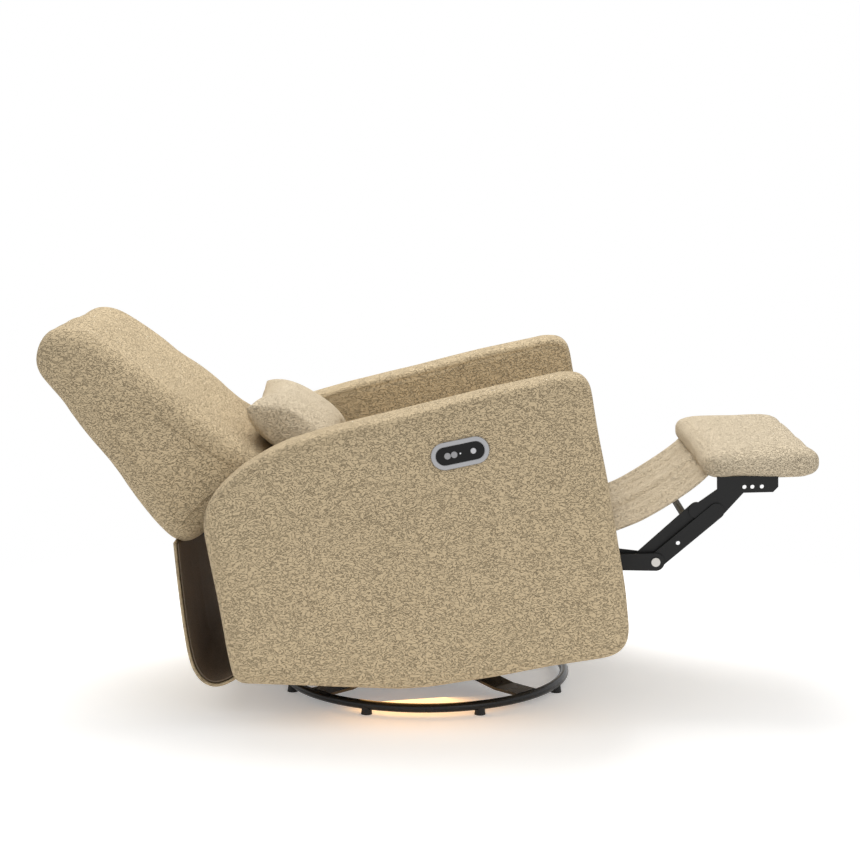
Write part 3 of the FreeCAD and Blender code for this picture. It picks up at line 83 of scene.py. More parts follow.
# Line of an arm's front edge, and how its outer face rolls away towards it.
ARM_FRONT_LINE = np.array([(380.0, 185.0), (306.0, 645.0)])
ARM_ROLL_DEPTH = 8.0
ARM_ROLL_REACH = 52.0
ARM_ROLL_BLEND = 40.0

# Grid steps of a cushion's section: over its rounded edge, and on the face beside it.
EDGE_STEPS = 7
LAP_STEPS = 6

# Frames that a cover takes to settle round its filling.
FILLING_FRAMES = 20

# Grid steps of a hanging sheet along and across, and how softly its line bends.
SHEET_STEPS = (60, 90)
SHEET_SOFTNESS = 10.0

LENS_LENGTH = 82.42
SENSOR_WIDTH = 36.0
CAMERA_PLACE = (0.0511, -3.928, 1.106)
CAMERA_DIP = 8.588
CAMERA_TURN = 0.0104


def make_camera():
    """The photograph's viewpoint: level with the arms, almost square to the chair's right side."""
    lens = bpy.data.cameras.new("camera")
    lens.sensor_width = SENSOR_WIDTH
    lens.lens = LENS_LENGTH
    camera = bpy.data.objects.new("camera", lens)
    camera.location = CAMERA_PLACE
    camera.rotation_euler = (math.radians(90.0 - CAMERA_DIP), 0.0, CAMERA_TURN)
    bpy.context.scene.collection.objects.link(camera)
    bpy.context.scene.camera = camera


def turned(offsets, angle, centre):
    """Side-view offsets turned by an angle, then set at a centre."""
    c, s = math.cos(angle), math.sin(angle)
    x = centre[0] + offsets[..., 0] * c - offsets[..., 1] * s
    z = centre[1] + offsets[..., 0] * s + offsets[..., 1] * c
    return np.stack([x, z], -1)


def tilted(points):
    """Side-view points of the upright chair body, turned back about the tilt pivot to where they rest."""
    return turned(np.asarray(points, float) - TILT_PIVOT, SEAT_TILT, TILT_PIVOT)


def from_pad(points):
    """Side-view points of the footrest pad's own frame, in the rest frame."""
    return tilted(turned(np.asarray(points, float), -PAD_DROP, PAD_CORNER))


def spread(side, y):
    """Points of the rest frame, from their side view and their crosswise places."""
    return np.column_stack([side[:, 0], y, side[:, 1]])


def closed_curve(points, count, softness):
    """A closed outline: the polygon walked at an even pace, then smoothed by fading its high harmonics."""
    points = np.asarray(points, float)
    loop = np.vstack([points, points[:1]])
    walked = np.concatenate([[0.0], np.cumsum(np.hypot(*np.diff(loop, axis=0).T))])
    at = np.linspace(0.0, walked[-1], count, endpoint=False)
    even = np.stack([np.interp(at, walked, loop[:, k]) for k in (0, 1)], -1)
    wave = np.fft.fftfreq(count, walked[-1] / count)
    fade = np.exp(-2.0 * (math.pi * wave * softness) ** 2)
    return np.real(np.fft.ifft(np.fft.fft(even, axis=0) * fade[:, None], axis=0))


def open_curve(points, count, softness=0.0):
    """An open line: the polygon walked at an even pace, then averaged with a bell-shaped window."""
    points = np.asarray(points, float)
    walked = np.concatenate([[0.0], np.cumsum(np.hypot(*np.diff(points, axis=0).T))])
    at = np.linspace(0.0, walked[-1], count)
    even = np.stack([np.interp(at, walked, points[:, k]) for k in (0, 1)], -1)
    if softness <= 0.0:
        return even
    reach = np.abs(at[:, None] - at[None, :])
    edge = np.minimum(at, walked[-1] - at)[:, None] + 1e-3
    window = np.exp(-0.5 * (reach / np.minimum(softness, edge)) ** 2)
    return window @ even / window.sum(1, keepdims=True)


def inward_normals(ring):
    """Unit normals of a closed outline that point to its inside."""
    ahead = np.roll(ring, -1, 0) - np.roll(ring, 1, 0)
    area = 0.5 * np.sum(ring[:, 0] * np.roll(ring[:, 1], -1) - np.roll(ring[:, 0], -1) * ring[:, 1])
    normal = np.stack([-ahead[:, 1], ahead[:, 0]], -1) * np.sign(area)
    return normal / np.linalg.norm(normal, axis=1, keepdims=True)


def ripple(points, wavelength, seed):
    """Smooth random relief from about -1 to 1: fourteen sine waves in seeded random directions, added up."""
    terms = 14
    rng = np.random.default_rng(seed)
    heading = rng.normal(size=(terms, 3))
    heading /= np.linalg.norm(heading, axis=1, keepdims=True)
    pace = 2.0 * math.pi / (wavelength * rng.uniform(0.6, 1.7, terms))
    phase = rng.uniform(0.0, 2.0 * math.pi, terms)
    return np.sin(points @ (heading * pace[:, None]).T + phase).sum(1) / math.sqrt(terms) * 0.7


def make_piece(name, vertices, faces, finish, smooth=True):
    """A mesh object in the rest frame, from points in millimetres."""
    mesh = bpy.data.meshes.new(name)
    mesh.from_pydata((np.asarray(vertices) * MM).tolist(), [], [list(map(int, f)) for f in faces])
    mesh.validate()
    mesh.polygons.foreach_set("use_smooth", np.full(len(mesh.polygons), smooth))
    mesh.materials.append(finish)
    piece = bpy.data.objects.new(name, mesh)
    bpy.context.scene.collection.objects.link(piece)
    return piece


def grid_faces(index, wrap=False):
    """Quads between the neighbours of an index grid; wrap closes it along its second direction."""
    right = np.roll(index, -1, 1) if wrap else index[:, 1:]
    left = index if wrap else index[:, :-1]
    return np.stack([left[:-1], right[:-1], right[1:], left[1:]], -1).reshape(-1, 4)


def corner_marks(ring, corners):
    """Indices of the outline points nearest to four corner points, in walking order."""
    gap = np.linalg.norm(ring[:, None] - np.asarray(corners, float)[None], axis=-1)
    return np.argmin(gap, 0)


def even_sides(ring, corners, long_count, short_count):
    """The outline walked again so that its four sides, from corner to corner, hold set numbers of points."""
    marks = corner_marks(ring, corners)
    rolled = np.roll(ring, -marks[0], 0)
    stops = np.append((marks - marks[0]) % len(ring), len(ring))
    closed = np.vstack([rolled, rolled[:1]])
    sides = []
    for side, count in enumerate((long_count, short_count, long_count, short_count)):
        run = closed[stops[side] : stops[side + 1] + 1]
        sides.append(open_curve(run, count + 1)[:-1])
    return np.vstack(sides)


def stretched_panel(ring, long_count, short_count):
    """Fills a four-sided ring: each inner point blends the opposite sides and takes away the corners' share.

    Returns the grid of points and the grid of ring indices, with -1 inside.
    """
    a, b = long_count, short_count
    bottom = np.arange(0, a + 1)
    right = np.arange(a, a + b + 1)
    top = np.arange(2 * a + b, a + b - 1, -1)
    left = np.append(np.arange(2 * a + 2 * b, 2 * a + b, -1) % (2 * a + 2 * b), 2 * a + b)
    index = np.full((a + 1, b + 1), -1)
    index[:, 0], index[:, -1], index[0, :], index[-1, :] = bottom, top, left, right
    u = np.linspace(0.0, 1.0, a + 1)[:, None, None]
    v = np.linspace(0.0, 1.0, b + 1)[None, :, None]
    low, high = ring[bottom][:, None], ring[top][:, None]
    west, east = ring[left][None], ring[right][None]
    blend = (1 - v) * low + v * high + (1 - u) * west + u * east
    near_corners = (1 - v) * ((1 - u) * ring[0] + u * ring[a])
    far_corners = v * (u * ring[a + b] + (1 - u) * ring[2 * a + b])
    return blend - near_corners - far_corners, index


def distance_to(points, ring):
    """Shortest distance of each point to the points of a ring."""
    return np.linalg.norm(points[:, None] - ring[None], axis=-1).min(1)


def edge_profile(width, edge, lap, band_steps):
    """Section across a boxed cushion as (inset, crosswise place): face, round edge, band, round edge, face."""
    turn = np.linspace(0.0, 0.5 * math.pi, EDGE_STEPS + 1)
    face = np.stack([np.linspace(edge + lap, edge, LAP_STEPS, endpoint=False), np.zeros(LAP_STEPS)], -1)
    round_edge = np.stack([edge * (1 - np.sin(turn)), edge * (1 - np.cos(turn))], -1)
    half = np.linspace(edge, width / 2, band_steps // 2 + 1)[1:]
    band = np.stack([np.zeros_like(half), half], -1)
    one = np.vstack([face, round_edge, band])
    other = one[:-1][::-1] * (1, -1) + (0, width)
    return np.vstack([one, other])


def boxed_cushion(name, ring, corners, place, width, edge, finish, *, lap, bulge, crown, counts, relief,
                  relief_wave, seed, crown_reach=60.0, seam_inset=None, seam_depth=0.0, band_steps=12):
    """A boxed cushion: an outline carried across its width with round edges, closed by two stretched panels.

    The band swells by bulge at mid width, as a parabola. The panels swell by crown, which builds up
    exponentially over crown_reach from their edges. A bell-shaped seam of seam_depth sinks into each face at
    seam_inset, and seeded relief goes over all. place turns (p, q, w) into the rest frame.
    """
    seam_width = 2.6
    long_count, short_count = counts
    ring = even_sides(ring, corners, long_count, short_count)
    normal = inward_normals(ring)
    section = edge_profile(width, edge, lap, band_steps)
    inset, across = section[:, 0], section[:, 1]
    middle = np.clip(1 - (2 * across / width - 1) ** 2, 0, 1)
    side_sign = np.where(across < width / 2, -1.0, 1.0)
    on_face = np.clip((inset - edge * 0.25) / (edge * 0.75), 0, 1)
    lift = crown * (1 - np.exp(-np.maximum(inset - edge * 0.5, 0) / crown_reach)) * on_face
    rings_2d = ring[None] + normal[None] * (inset - bulge * middle)[:, None, None]
    rings_w = across + side_sign * lift
    if seam_inset is not None:
        groove = seam_depth * np.exp(-(((inset - seam_inset) / seam_width) ** 2)) * (on_face > 0.02)
        rings_w = rings_w - side_sign * groove
    count = len(ring)
    flat = np.concatenate([rings_2d, np.broadcast_to(rings_w[:, None, None], (len(section), count, 1))], -1)
    vertices = [flat.reshape(-1, 3)]
    ring_index = np.arange(len(section) * count).reshape(len(section), count)
    faces = [grid_faces(ring_index, wrap=True)]
    total = len(section) * count
    for row, sign in ((0, -1.0), (len(section) - 1, 1.0)):
        panel, index = stretched_panel(rings_2d[row], long_count, short_count)
        inner = panel[1:-1, 1:-1].reshape(-1, 2)
        depth = distance_to(inner, ring)
        swell = crown * (1 - np.exp(-np.maximum(depth - edge * 0.5, 0) / crown_reach))
        height = (0.0 if sign < 0 else width) + sign * swell
        vertices.append(np.column_stack([inner, height]))
        index = np.where(index >= 0, index + row * count, -1)
        index[1:-1, 1:-1] = total + np.arange(len(inner)).reshape(long_count - 1, short_count - 1)
        total += len(inner)
        panel_faces = grid_faces(index)
        faces.append(panel_faces if sign < 0 else panel_faces[:, ::-1])
    points = place(np.vstack(vertices))
    piece = make_piece(name, points, np.vstack(faces), finish)
    face_outwards(piece)
    move_along_normals(piece, relief * ripple(points, relief_wave, seed))
    return piece


def face_outwards(piece):
    """Turns a closed mesh's faces outwards, judged by its signed volume."""
    mesh = piece.data
    mesh.calc_loop_triangles()
    corners = np.zeros(len(mesh.loop_triangles) * 3, np.int32)
    mesh.loop_triangles.foreach_get("vertices", corners)
    points = mesh_points(piece)[corners].reshape(-1, 3, 3)
    volume = np.einsum("ij,ij->i", points[:, 0], np.cross(points[:, 1], points[:, 2])).sum()
    if volume < 0:
        mesh.flip_normals()


def mesh_points(piece):
    """A mesh's points as an array, in metres."""
    points = np.zeros(len(piece.data.vertices) * 3)
    piece.data.vertices.foreach_get("co", points)
    return points.reshape(-1, 3)


def set_points(piece, points):
    """Gives a mesh new places for its points, in metres."""
    piece.data.vertices.foreach_set("co", points.ravel())
    piece.data.update()


def move_along_normals(piece, millimetres):
    """Pushes each point of a mesh outwards by its own number of millimetres."""
    normals = np.zeros(len(piece.data.vertices) * 3)
    piece.data.vertex_normals.foreach_get("vector", normals)
    set_points(piece, mesh_points(piece) + normals.reshape(-1, 3) * (np.asarray(millimetres) * MM)[:, None])


def crosswise(y_start):
    """A placing rule: outline in the side view, width along +Y from y_start."""
    return lambda points: spread(points[:, :2], y_start + points[:, 2])


def inflate(piece, pressure, cap):
    """Lets a cover swell as cloth round its filling, then keeps each point within cap of where it began.

    The way that a point went is shortened to cap times the hyperbolic tangent of its length over cap.
    """
    before = mesh_points(piece)
    cloth = piece.modifiers.new("filling", "CLOTH")
    settings = cloth.settings
    settings.quality = 5
    settings.mass = 0.35
    settings.tension_stiffness = 18.0
    settings.compression_stiffness = 18.0
    settings.shear_stiffness = 8.0
    settings.bending_stiffness = 6.0
    settings.use_pressure = True
    settings.uniform_pressure_force = pressure
    settings.effector_weights.gravity = 0.0
    cloth.collision_settings.use_collision = False
    cloth.point_cache.frame_start = 1
    cloth.point_cache.frame_end = FILLING_FRAMES
    scene = bpy.context.scene
    for step in range(1, FILLING_FRAMES + 1):
        scene.frame_set(step)
    after = mesh_points(piece.evaluated_get(bpy.context.evaluated_depsgraph_get()))
    piece.modifiers.remove(cloth)
    scene.frame_set(1)
    moved = after - before
    length = np.linalg.norm(moved, axis=1, keepdims=True)
    limit = cap * MM
    moved *= limit * np.tanh(length / limit) / np.maximum(length, 1e-9)
    set_points(piece, before + moved)


def subdivided(piece):
    """One level of finishing subdivision, the same in every view."""
    smoothing = piece.modifiers.new("rounding", "SUBSURF")
    smoothing.levels = 1
    smoothing.render_levels = 1


def new_finish(name, colour, roughness, metallic=0.0):
    """A material with one shader; constant values sit on the shader's own sockets."""
    material = bpy.data.materials.new(name)
    material.use_nodes = True
    tree = material.node_tree
    shader = tree.nodes["Principled BSDF"]
    shader.inputs["Base Color"].default_value = (*colour, 1.0)
    shader.inputs["Roughness"].default_value = roughness
    shader.inputs["Metallic"].default_value = metallic
    return material, tree, shader


def add_node(tree, kind, values=None, **links):
    """A node with its values set by name and its inputs linked by name."""
    node = tree.nodes.new("ShaderNode" + kind)
    for key, value in (values or {}).items():
        if key in node.inputs:
            node.inputs[key].default_value = value
        else:
            setattr(node, key, value)
    for key, source in links.items():
        tree.links.new(source, node.inputs[key])
    return node


def maths(tree, operation, *values, kind="Math"):
    """One step of arithmetic between sockets, numbers or vectors."""
    node = add_node(tree, kind, {"operation": operation})
    for slot, value in enumerate(values):
        if isinstance(value, bpy.types.NodeSocket):
            tree.links.new(value, node.inputs[slot])
        else:
            node.inputs[slot].default_value = value
    return node.outputs[0]


def noise(tree, place, scale, detail):
    """A soft random field from 0 to 1, with so many swells to the metre."""
    return add_node(tree, "TexNoise", {"Scale": scale, "Detail": detail}, Vector=place).outputs["Fac"]


def raise_surface(tree, shader, height, strength, distance):
    """Fine relief too small to model, added to the shading."""
    bump = add_node(tree, "Bump", {"Strength": strength, "Distance": distance}, Height=height)
    tree.links.new(bump.outputs["Normal"], shader.inputs["Normal"])


def uneven_gloss(tree, shader, field, share, roughness):
    """Roughness that wanders with a random field about its own value."""
    gloss = maths(tree, "ADD", maths(tree, "MULTIPLY", field, share), roughness - 0.1)
    tree.links.new(gloss, shader.inputs["Roughness"])


def colour_ramp(tree, factor, stops):
    """Colours along a factor."""
    node = tree.nodes.new("ShaderNodeValToRGB")
    tree.links.new(factor, node.inputs[0])
    ramp = node.color_ramp
    while len(ramp.elements) < len(stops):
        ramp.elements.new(0.5)
    for element, (position, colour) in zip(ramp.elements, stops):
        element.position = position
        element.color = (*colour, 1.0)
    return node.outputs["Color"]


def object_place(tree):
    """The point's own place on the object."""
    return add_node(tree, "TexCoord").outputs["Object"]


def boucle_finish(name, light, dark, curl=1.0):
    """Boucle: pale loops of yarn a few millimetres across, parted by winding furrows darkened with painted
    shade.

    A furrow runs where a swayed random field crosses its middle value, and the yarn rises on both sides of it
    to a flat crown. Fine fuzz and a broad cloud of tone lie over that.
    """
    material, tree, shader = new_finish(name, light, 0.95)
    shader.inputs["Specular IOR Level"].default_value = 0.15
    shader.inputs["Sheen Weight"].default_value = 0.12
    shader.inputs["Sheen Roughness"].default_value = 0.55
    shader.inputs["Sheen Tint"].default_value = (0.95, 0.84, 0.66, 1.0)
    place = object_place(tree)
    sway = add_node(tree, "TexNoise", {"Scale": 60.0, "Detail": 1.0}, Vector=place)
    centred = maths(tree, "SUBTRACT", sway.outputs["Color"], (0.5, 0.5, 0.5), kind="VectorMath")
    swayed = maths(tree, "MULTIPLY_ADD", centred, (0.010, 0.010, 0.006), place, kind="VectorMath")
    squeezed = add_node(tree, "Mapping", {"Scale": (150.0, 180.0, 260.0)}, Vector=swayed)
    loops = add_node(
        tree, "TexNoise", {"Scale": 1.0 / curl, "Detail": 1.0, "Roughness": 0.45, "Distortion": 0.5},
        Vector=squeezed.outputs[0],
    )
    off_furrow = maths(tree, "ABSOLUTE", maths(tree, "SUBTRACT", loops.outputs["Fac"], 0.5))
    crown = maths(tree, "MINIMUM", maths(tree, "MULTIPLY", off_furrow, 20.0), 1.0)
    fuzz = noise(tree, place, 700.0, 2.0)
    relief = maths(tree, "ADD", maths(tree, "MULTIPLY", crown, 0.8), maths(tree, "MULTIPLY", fuzz, 0.3))
    cloud = noise(tree, place, 12.0, 4.0)
    # The colour follows the relief, so the furrows take painted shade; fuzz and cloud add random tone.
    shade = maths(tree, "ADD", maths(tree, "MULTIPLY", relief, 0.34), maths(tree, "MULTIPLY", cloud, 0.10))
    tree.links.new(colour_ramp(tree, shade, [(0.08, dark), (0.62, light)]), shader.inputs["Base Color"])
    raise_surface(tree, shader, relief, 0.9, 0.0050 * curl)
    return material


def shaded(colour, share):
    """A colour made darker or lighter by a share."""
    return tuple(share * value for value in colour)


def woven_finish(name, colour, pitch):
    """Woven cloth: a random grain at the pitch of its threads, with darker and lighter patches."""
    material, tree, shader = new_finish(name, colour, 0.9)
    shader.inputs["Specular IOR Level"].default_value = 0.2
    place = object_place(tree)
    grain = noise(tree, place, 2.2 / pitch, 2.0)
    patches = noise(tree, place, 0.6 / pitch, 3.0)
    tone = colour_ramp(tree, patches, [(0.3, shaded(colour, 0.7)), (0.7, shaded(colour, 1.25))])
    tree.links.new(tone, shader.inputs["Base Color"])
    raise_surface(tree, shader, grain, 0.6, 0.0006)
    return material


def enamel_finish(name, colour, roughness):
    """Black enamel on steel: faint orange peel, and patches where the gloss is duller."""
    material, tree, shader = new_finish(name, colour, roughness)
    shader.inputs["Coat Weight"].default_value = 0.08
    shader.inputs["Specular IOR Level"].default_value = 0.3
    shader.inputs["Coat Roughness"].default_value = 0.18
    place = object_place(tree)
    uneven_gloss(tree, shader, noise(tree, place, 14.0, 4.0), 0.22, roughness)
    raise_surface(tree, shader, noise(tree, place, 420.0, 2.0), 0.35, 0.00012)
    return material


def metal_finish(name, colour, roughness):
    """Bare or plated metal with fine, uneven polish."""
    material, tree, shader = new_finish(name, colour, roughness, metallic=1.0)
    uneven_gloss(tree, shader, noise(tree, object_place(tree), 60.0, 5.0), 0.2, roughness)
    return material


def moulded_finish(name, colour, roughness):
    """Moulded plastic with a fine, even grain."""
    material, tree, shader = new_finish(name, colour, roughness)
    shader.inputs["Specular IOR Level"].default_value = 0.25
    raise_surface(tree, shader, noise(tree, object_place(tree), 900.0, 2.0), 0.3, 0.00008)
    return material


def timber_finish(name, colour):
    """Planed hardwood: growth rings drawn out along the chair, with darker grain lines."""
    material, tree, shader = new_finish(name, colour, 0.6)
    stretch = add_node(tree, "Mapping", {"Scale": (2.0, 30.0, 30.0)}, Vector=object_place(tree))
    rings = add_node(
        tree, "TexWave", {"Scale": 1.2, "Distortion": 6.0, "Detail": 3.0}, Vector=stretch.outputs[0]
    )
    tone = colour_ramp(tree, rings.outputs["Fac"], [(0.2, shaded(colour, 0.6)), (0.8, colour)])
    tree.links.new(tone, shader.inputs["Base Color"])
    return material


# Each boucle's darker colour is painted shade, laid into the furrows between its loops.
LIGHT_WOOL = (0.755, 0.61, 0.40)
WOOL_FURROW_SHADE = (0.50, 0.385, 0.23)
FINE_LIGHT = (0.80, 0.69, 0.515)
FINE_WOOL_FURROW_SHADE = (0.60, 0.49, 0.335)

FINISHES = {
    "boucle": boucle_finish("boucle", LIGHT_WOOL, WOOL_FURROW_SHADE),
    "boucle_fine": boucle_finish("boucle_fine", FINE_LIGHT, FINE_WOOL_FURROW_SHADE, curl=0.75),
    "lining": woven_finish("lining", (0.19, 0.145, 0.105), 0.0016),
    "frame_gloss_black": enamel_finish("frame_gloss_black", (0.006, 0.006, 0.006), 0.25),
    "mechanism_black": enamel_finish("mechanism_black", (0.005, 0.005, 0.005), 0.42),
    "pivot_zinc": metal_finish("pivot_zinc", (0.62, 0.60, 0.56), 0.35),
    "timber": timber_finish("timber", (0.52, 0.36, 0.21)),
    "core_board": timber_finish("core_board", (0.60, 0.46, 0.30)),
    "webbing": woven_finish("webbing", (0.06, 0.06, 0.065), 0.003),
    "bezel_silver": metal_finish("bezel_silver", (0.40, 0.40, 0.41), 0.34),
    "panel_black": moulded_finish("panel_black", (0.004, 0.004, 0.004), 0.3),
    "cup_black": moulded_finish("cup_black", (0.03, 0.03, 0.03), 0.5),
    "button_grey": moulded_finish("button_grey", (0.34, 0.34, 0.35), 0.42),
    "button_pale": moulded_finish("button_pale", (0.58, 0.58, 0.60), 0.4),
    "lamp_white": moulded_finish("lamp_white", (0.85, 0.87, 0.9), 0.3),
    "drive_black": moulded_finish("drive_black", (0.03, 0.03, 0.032), 0.5),
    "rod_steel": metal_finish("rod_steel", (0.7, 0.7, 0.71), 0.15),
    "foot_plastic": moulded_finish("foot_plastic", (0.02, 0.02, 0.02), 0.55),
}


def dress_nodes():
    """Each solid takes the finish of its own slot; the pad bracket's pins are blackened with the bracket."""
    slots = {entry["node"]: entry["material_slot"] for entry in frame["record"]["subparts"]}
    slots["ottoman_pins"] = "mechanism_black"
    for name, node in NODES.items():
        node.data.materials.clear()
        node.data.materials.append(FINISHES[slots[name]])


ARM_OUTLINE = [
    (-338, 95), (-227, 91.5), (-130, 88), (-41, 85), (14, 89), (144, 110), (236, 128), (328, 143),
    (351, 148), (369, 158), (380, 175), (382, 199), (375, 265), (358, 369), (345, 443), (325, 545),
    (308, 636), (303, 655), (288, 666), (257, 667), (223, 659), (119, 637), (-35, 597), (-170, 565),
    (-249, 541), (-286, 524), (-312, 508), (-332, 496), (-360, 472), (-383, 447), (-396, 425), (-401, 400),
    (-400, 380), (-383, 282), (-360, 150), (-353, 117), (-348, 102),
]


def make_arms():
    """Arms: tight boucle covers with a seam just inside the edge of each face."""
    ring = closed_curve(ARM_OUTLINE, 900, 6.0)
    corners = [(-350, 98), (376, 160), (303, 660), (-325, 502)]
    for side, name in ((-1, "right"), (1, "left")):
        start = -ARM_OUTER if side < 0 else ARM_INNER
        arm = boxed_cushion(
            "arm_upholstery_" + name, ring, corners, crosswise(start), ARM_OUTER - ARM_INNER, 13.0,
            FINISHES["boucle"], lap=16.0, bulge=2.0, crown=1.5, crown_reach=40.0, seam_inset=13.5,
            seam_depth=2.2, counts=(84, 60), relief=0.9, relief_wave=190.0, seed=3 + side,
        )
        roll_front(arm, side)
        if side < 0:
            seat_for_panel(arm)
        subdivided(arm)
        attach(arm, "chair_body")
        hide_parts("arm_cover_" + name)


def roll_front(arm, side):
    """Lets the outer face roll away towards the arm's front edge, with the square of the nearness to it."""
    points = mesh_points(arm) / MM
    start, end = ARM_FRONT_LINE
    along = (end - start) / np.linalg.norm(end - start)
    behind = (points[:, 0] - start[0]) * -along[1] + (points[:, 2] - start[1]) * along[0]
    from_middle = points[:, 1] * side - 0.5 * (ARM_INNER + ARM_OUTER)
    outside = np.clip(from_middle / ARM_ROLL_BLEND, 0.0, 1.0)
    nearness = np.clip(1.0 - behind / ARM_ROLL_REACH, 0.0, 1.0)
    points[:, 1] -= side * ARM_ROLL_DEPTH * outside * nearness**2
    set_points(arm, points * MM)


def seat_for_panel(arm):
    """Presses the cover in round the control panel: a bar-shaped dent with half-round ends and a soft rim.

    The depth falls from its full value to none across the rim as a logistic curve.
    """
    points = mesh_points(arm) / MM
    offsets = points[:, [0, 2]] - PANEL_CENTRE
    run, rise = turned(offsets, -PANEL_TILT, (0.0, 0.0)).T
    outside = np.hypot(np.maximum(np.abs(run) - PANEL_HALF_STRAIGHT, 0.0), rise) - PANEL_END_RADIUS
    outer_face = points[:, 1] < -ARM_OUTER + 8.0
    points[:, 1] += PANEL_DENT / (1.0 + np.exp(outside / PANEL_DENT_BLUR)) * outer_face
    set_points(arm, points * MM)


def make_seat():
    """Seat cushion: crowned across, with a rounded nose that drops in front of the rail."""
    outline = [
        (-182, 386), (-100, 383), (100, 383), (330, 383), (340, 376), (343, 345), (350, 342), (366, 346),
        (371, 372), (370, 424), (356, 446), (326, 457), (200, 460), (0, 460), (-150, 456), (-180, 444),
        (-184, 416),
    ]
    ring = closed_curve(tilted(outline), 700, 10.0)
    corners = tilted([(-182, 384), (360, 344), (352, 450), (-176, 450)])
    half = 268.0
    seat = boxed_cushion(
        "seat_upholstery", ring, corners, crosswise(-half), 2 * half, 20.0, FINISHES["boucle"], lap=8.0,
        bulge=4.0, crown=2.0, seam_inset=18.0, seam_depth=1.5, counts=(78, 16), band_steps=60,
        relief=1.6, relief_wave=120.0, seed=11,
    )
    inflate(seat, 4.0, 6.0)
    subdivided(seat)
    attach(seat, "chair_body")
    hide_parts("seat_cushion")


BACK_OUTLINE = [
    (-731, 660), (-646, 548), (-566, 442), (-510, 369), (-481, 337), (-466, 329), (-450, 327), (-434, 335),
    (-415, 356), (-393, 385), (-340, 430), (-297, 470), (-301, 490), (-330, 506), (-385, 541), (-423, 569),
    (-487, 621), (-550, 668), (-614, 711), (-645, 731), (-670, 741), (-698, 742), (-718, 729), (-732, 704),
    (-737, 677),
]


def make_back():
    """Backrest: one deep cushion with wide round edges, fuller in the middle."""
    ring = closed_curve(BACK_OUTLINE, 900, 12.0)
    corners = [(-456, 329), (-298, 478), (-665, 738), (-728, 685)]
    half = 266.0
    back = boxed_cushion(
        "back_upholstery", ring, corners, crosswise(-half), 2 * half, 42.0, FINISHES["boucle"], lap=6.0,
        bulge=4.0, crown=2.0, counts=(30, 76), band_steps=60, relief=2.0, relief_wave=170.0, seed=21,
    )
    inflate(back, 4.0, 3.0)
    subdivided(back)
    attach(back, "backrest")
    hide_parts("back_cushion")


def make_pillow():
    """Lumbar pillow: two panels sewn edge to edge, drawn in along its sides and pointed at its corners.

    With a and b from -1 to 1 across and along, the half thickness is (1 - a^2)^0.30 (1 - b^2)^0.40 of the
    fullest, and each side is drawn in as a parabola between its corners.
    """
    half_width, half_length, half_thick = 205.0, 104.0, 52.0
    centre = (-252.0, 530.0)
    lean = math.radians(57.0)
    across_steps, along_steps = 56, 32
    a = np.sin(np.linspace(-0.5, 0.5, across_steps + 1) * math.pi)[:, None]
    b = np.sin(np.linspace(-0.5, 0.5, along_steps + 1) * math.pi)[None, :]
    across = half_width * a * (1 - 0.055 * (1 - b**2))
    along = half_length * b * (1 - 0.085 * (1 - a**2))
    full = np.clip(1 - a**2, 0, 1) ** 0.30 * np.clip(1 - b**2, 0, 1) ** 0.40
    panels = [np.stack([sign * half_thick * full, across, along], -1).reshape(-1, 3) for sign in (1.0, -1.0)]
    flat = np.vstack(panels)
    points = spread(turned(flat[:, [0, 2]], lean, centre), flat[:, 1])
    front = np.arange(full.size).reshape(full.shape)
    rear = front + full.size
    # Both panels share the points of their sewn edge.
    for edge in (np.s_[0, :], np.s_[-1, :], np.s_[:, 0], np.s_[:, -1]):
        rear[edge] = front[edge]
    faces = np.vstack([grid_faces(front), grid_faces(rear)[:, ::-1]])
    used, renumbered = np.unique(faces, return_inverse=True)
    points = points[used]
    pillow = make_piece("pillow_upholstery", points, renumbered.reshape(faces.shape), FINISHES["boucle_fine"])
    face_outwards(pillow)
    move_along_normals(pillow, 1.4 * ripple(points, 90.0, 31))
    inflate(pillow, 3.0, 9.0)
    subdivided(pillow)
    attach(pillow, "pillow")
    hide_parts("lumbar_pillow")


def make_footrest_pad():
    """Footrest pad: a shallow boxed pad with quarter-round corners and a crowned top, round its board."""
    half, rear, front = 262.0, -4.0, 217.0
    thick, radius, inset = 43.0, 40.0, 10.0
    turn = np.linspace(0, 0.5 * math.pi, 12)
    arc = np.stack([np.sin(turn), -np.cos(turn)], -1) * radius
    middles = [(front - radius, radius - half), (front - radius, half - radius),
               (rear + radius, half - radius), (rear + radius, radius - half)]
    quarters = [turned(arc, quarter * 0.5 * math.pi, middle) for quarter, middle in enumerate(middles)]
    ring = closed_curve(np.vstack(quarters), 700, 5.0)
    corners = [(rear + inset, inset - half), (front - inset, inset - half),
               (front - inset, half - inset), (rear + inset, half - inset)]

    def place(points):
        return spread(from_pad(points[:, [0, 2]]), points[:, 1])

    pad = boxed_cushion(
        "footrest_upholstery", ring, corners, place, thick, 15.0, FINISHES["boucle_fine"], lap=20.0,
        bulge=3.0, crown=6.0, crown_reach=45.0, seam_inset=14.0, seam_depth=1.5, counts=(28, 66),
        band_steps=8, relief=0.9, relief_wave=110.0, seed=41,
    )
    inflate(pad, 3.0, 4.0)
    subdivided(pad)
    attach(pad, "ottoman")
    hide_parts("footrest_pad")


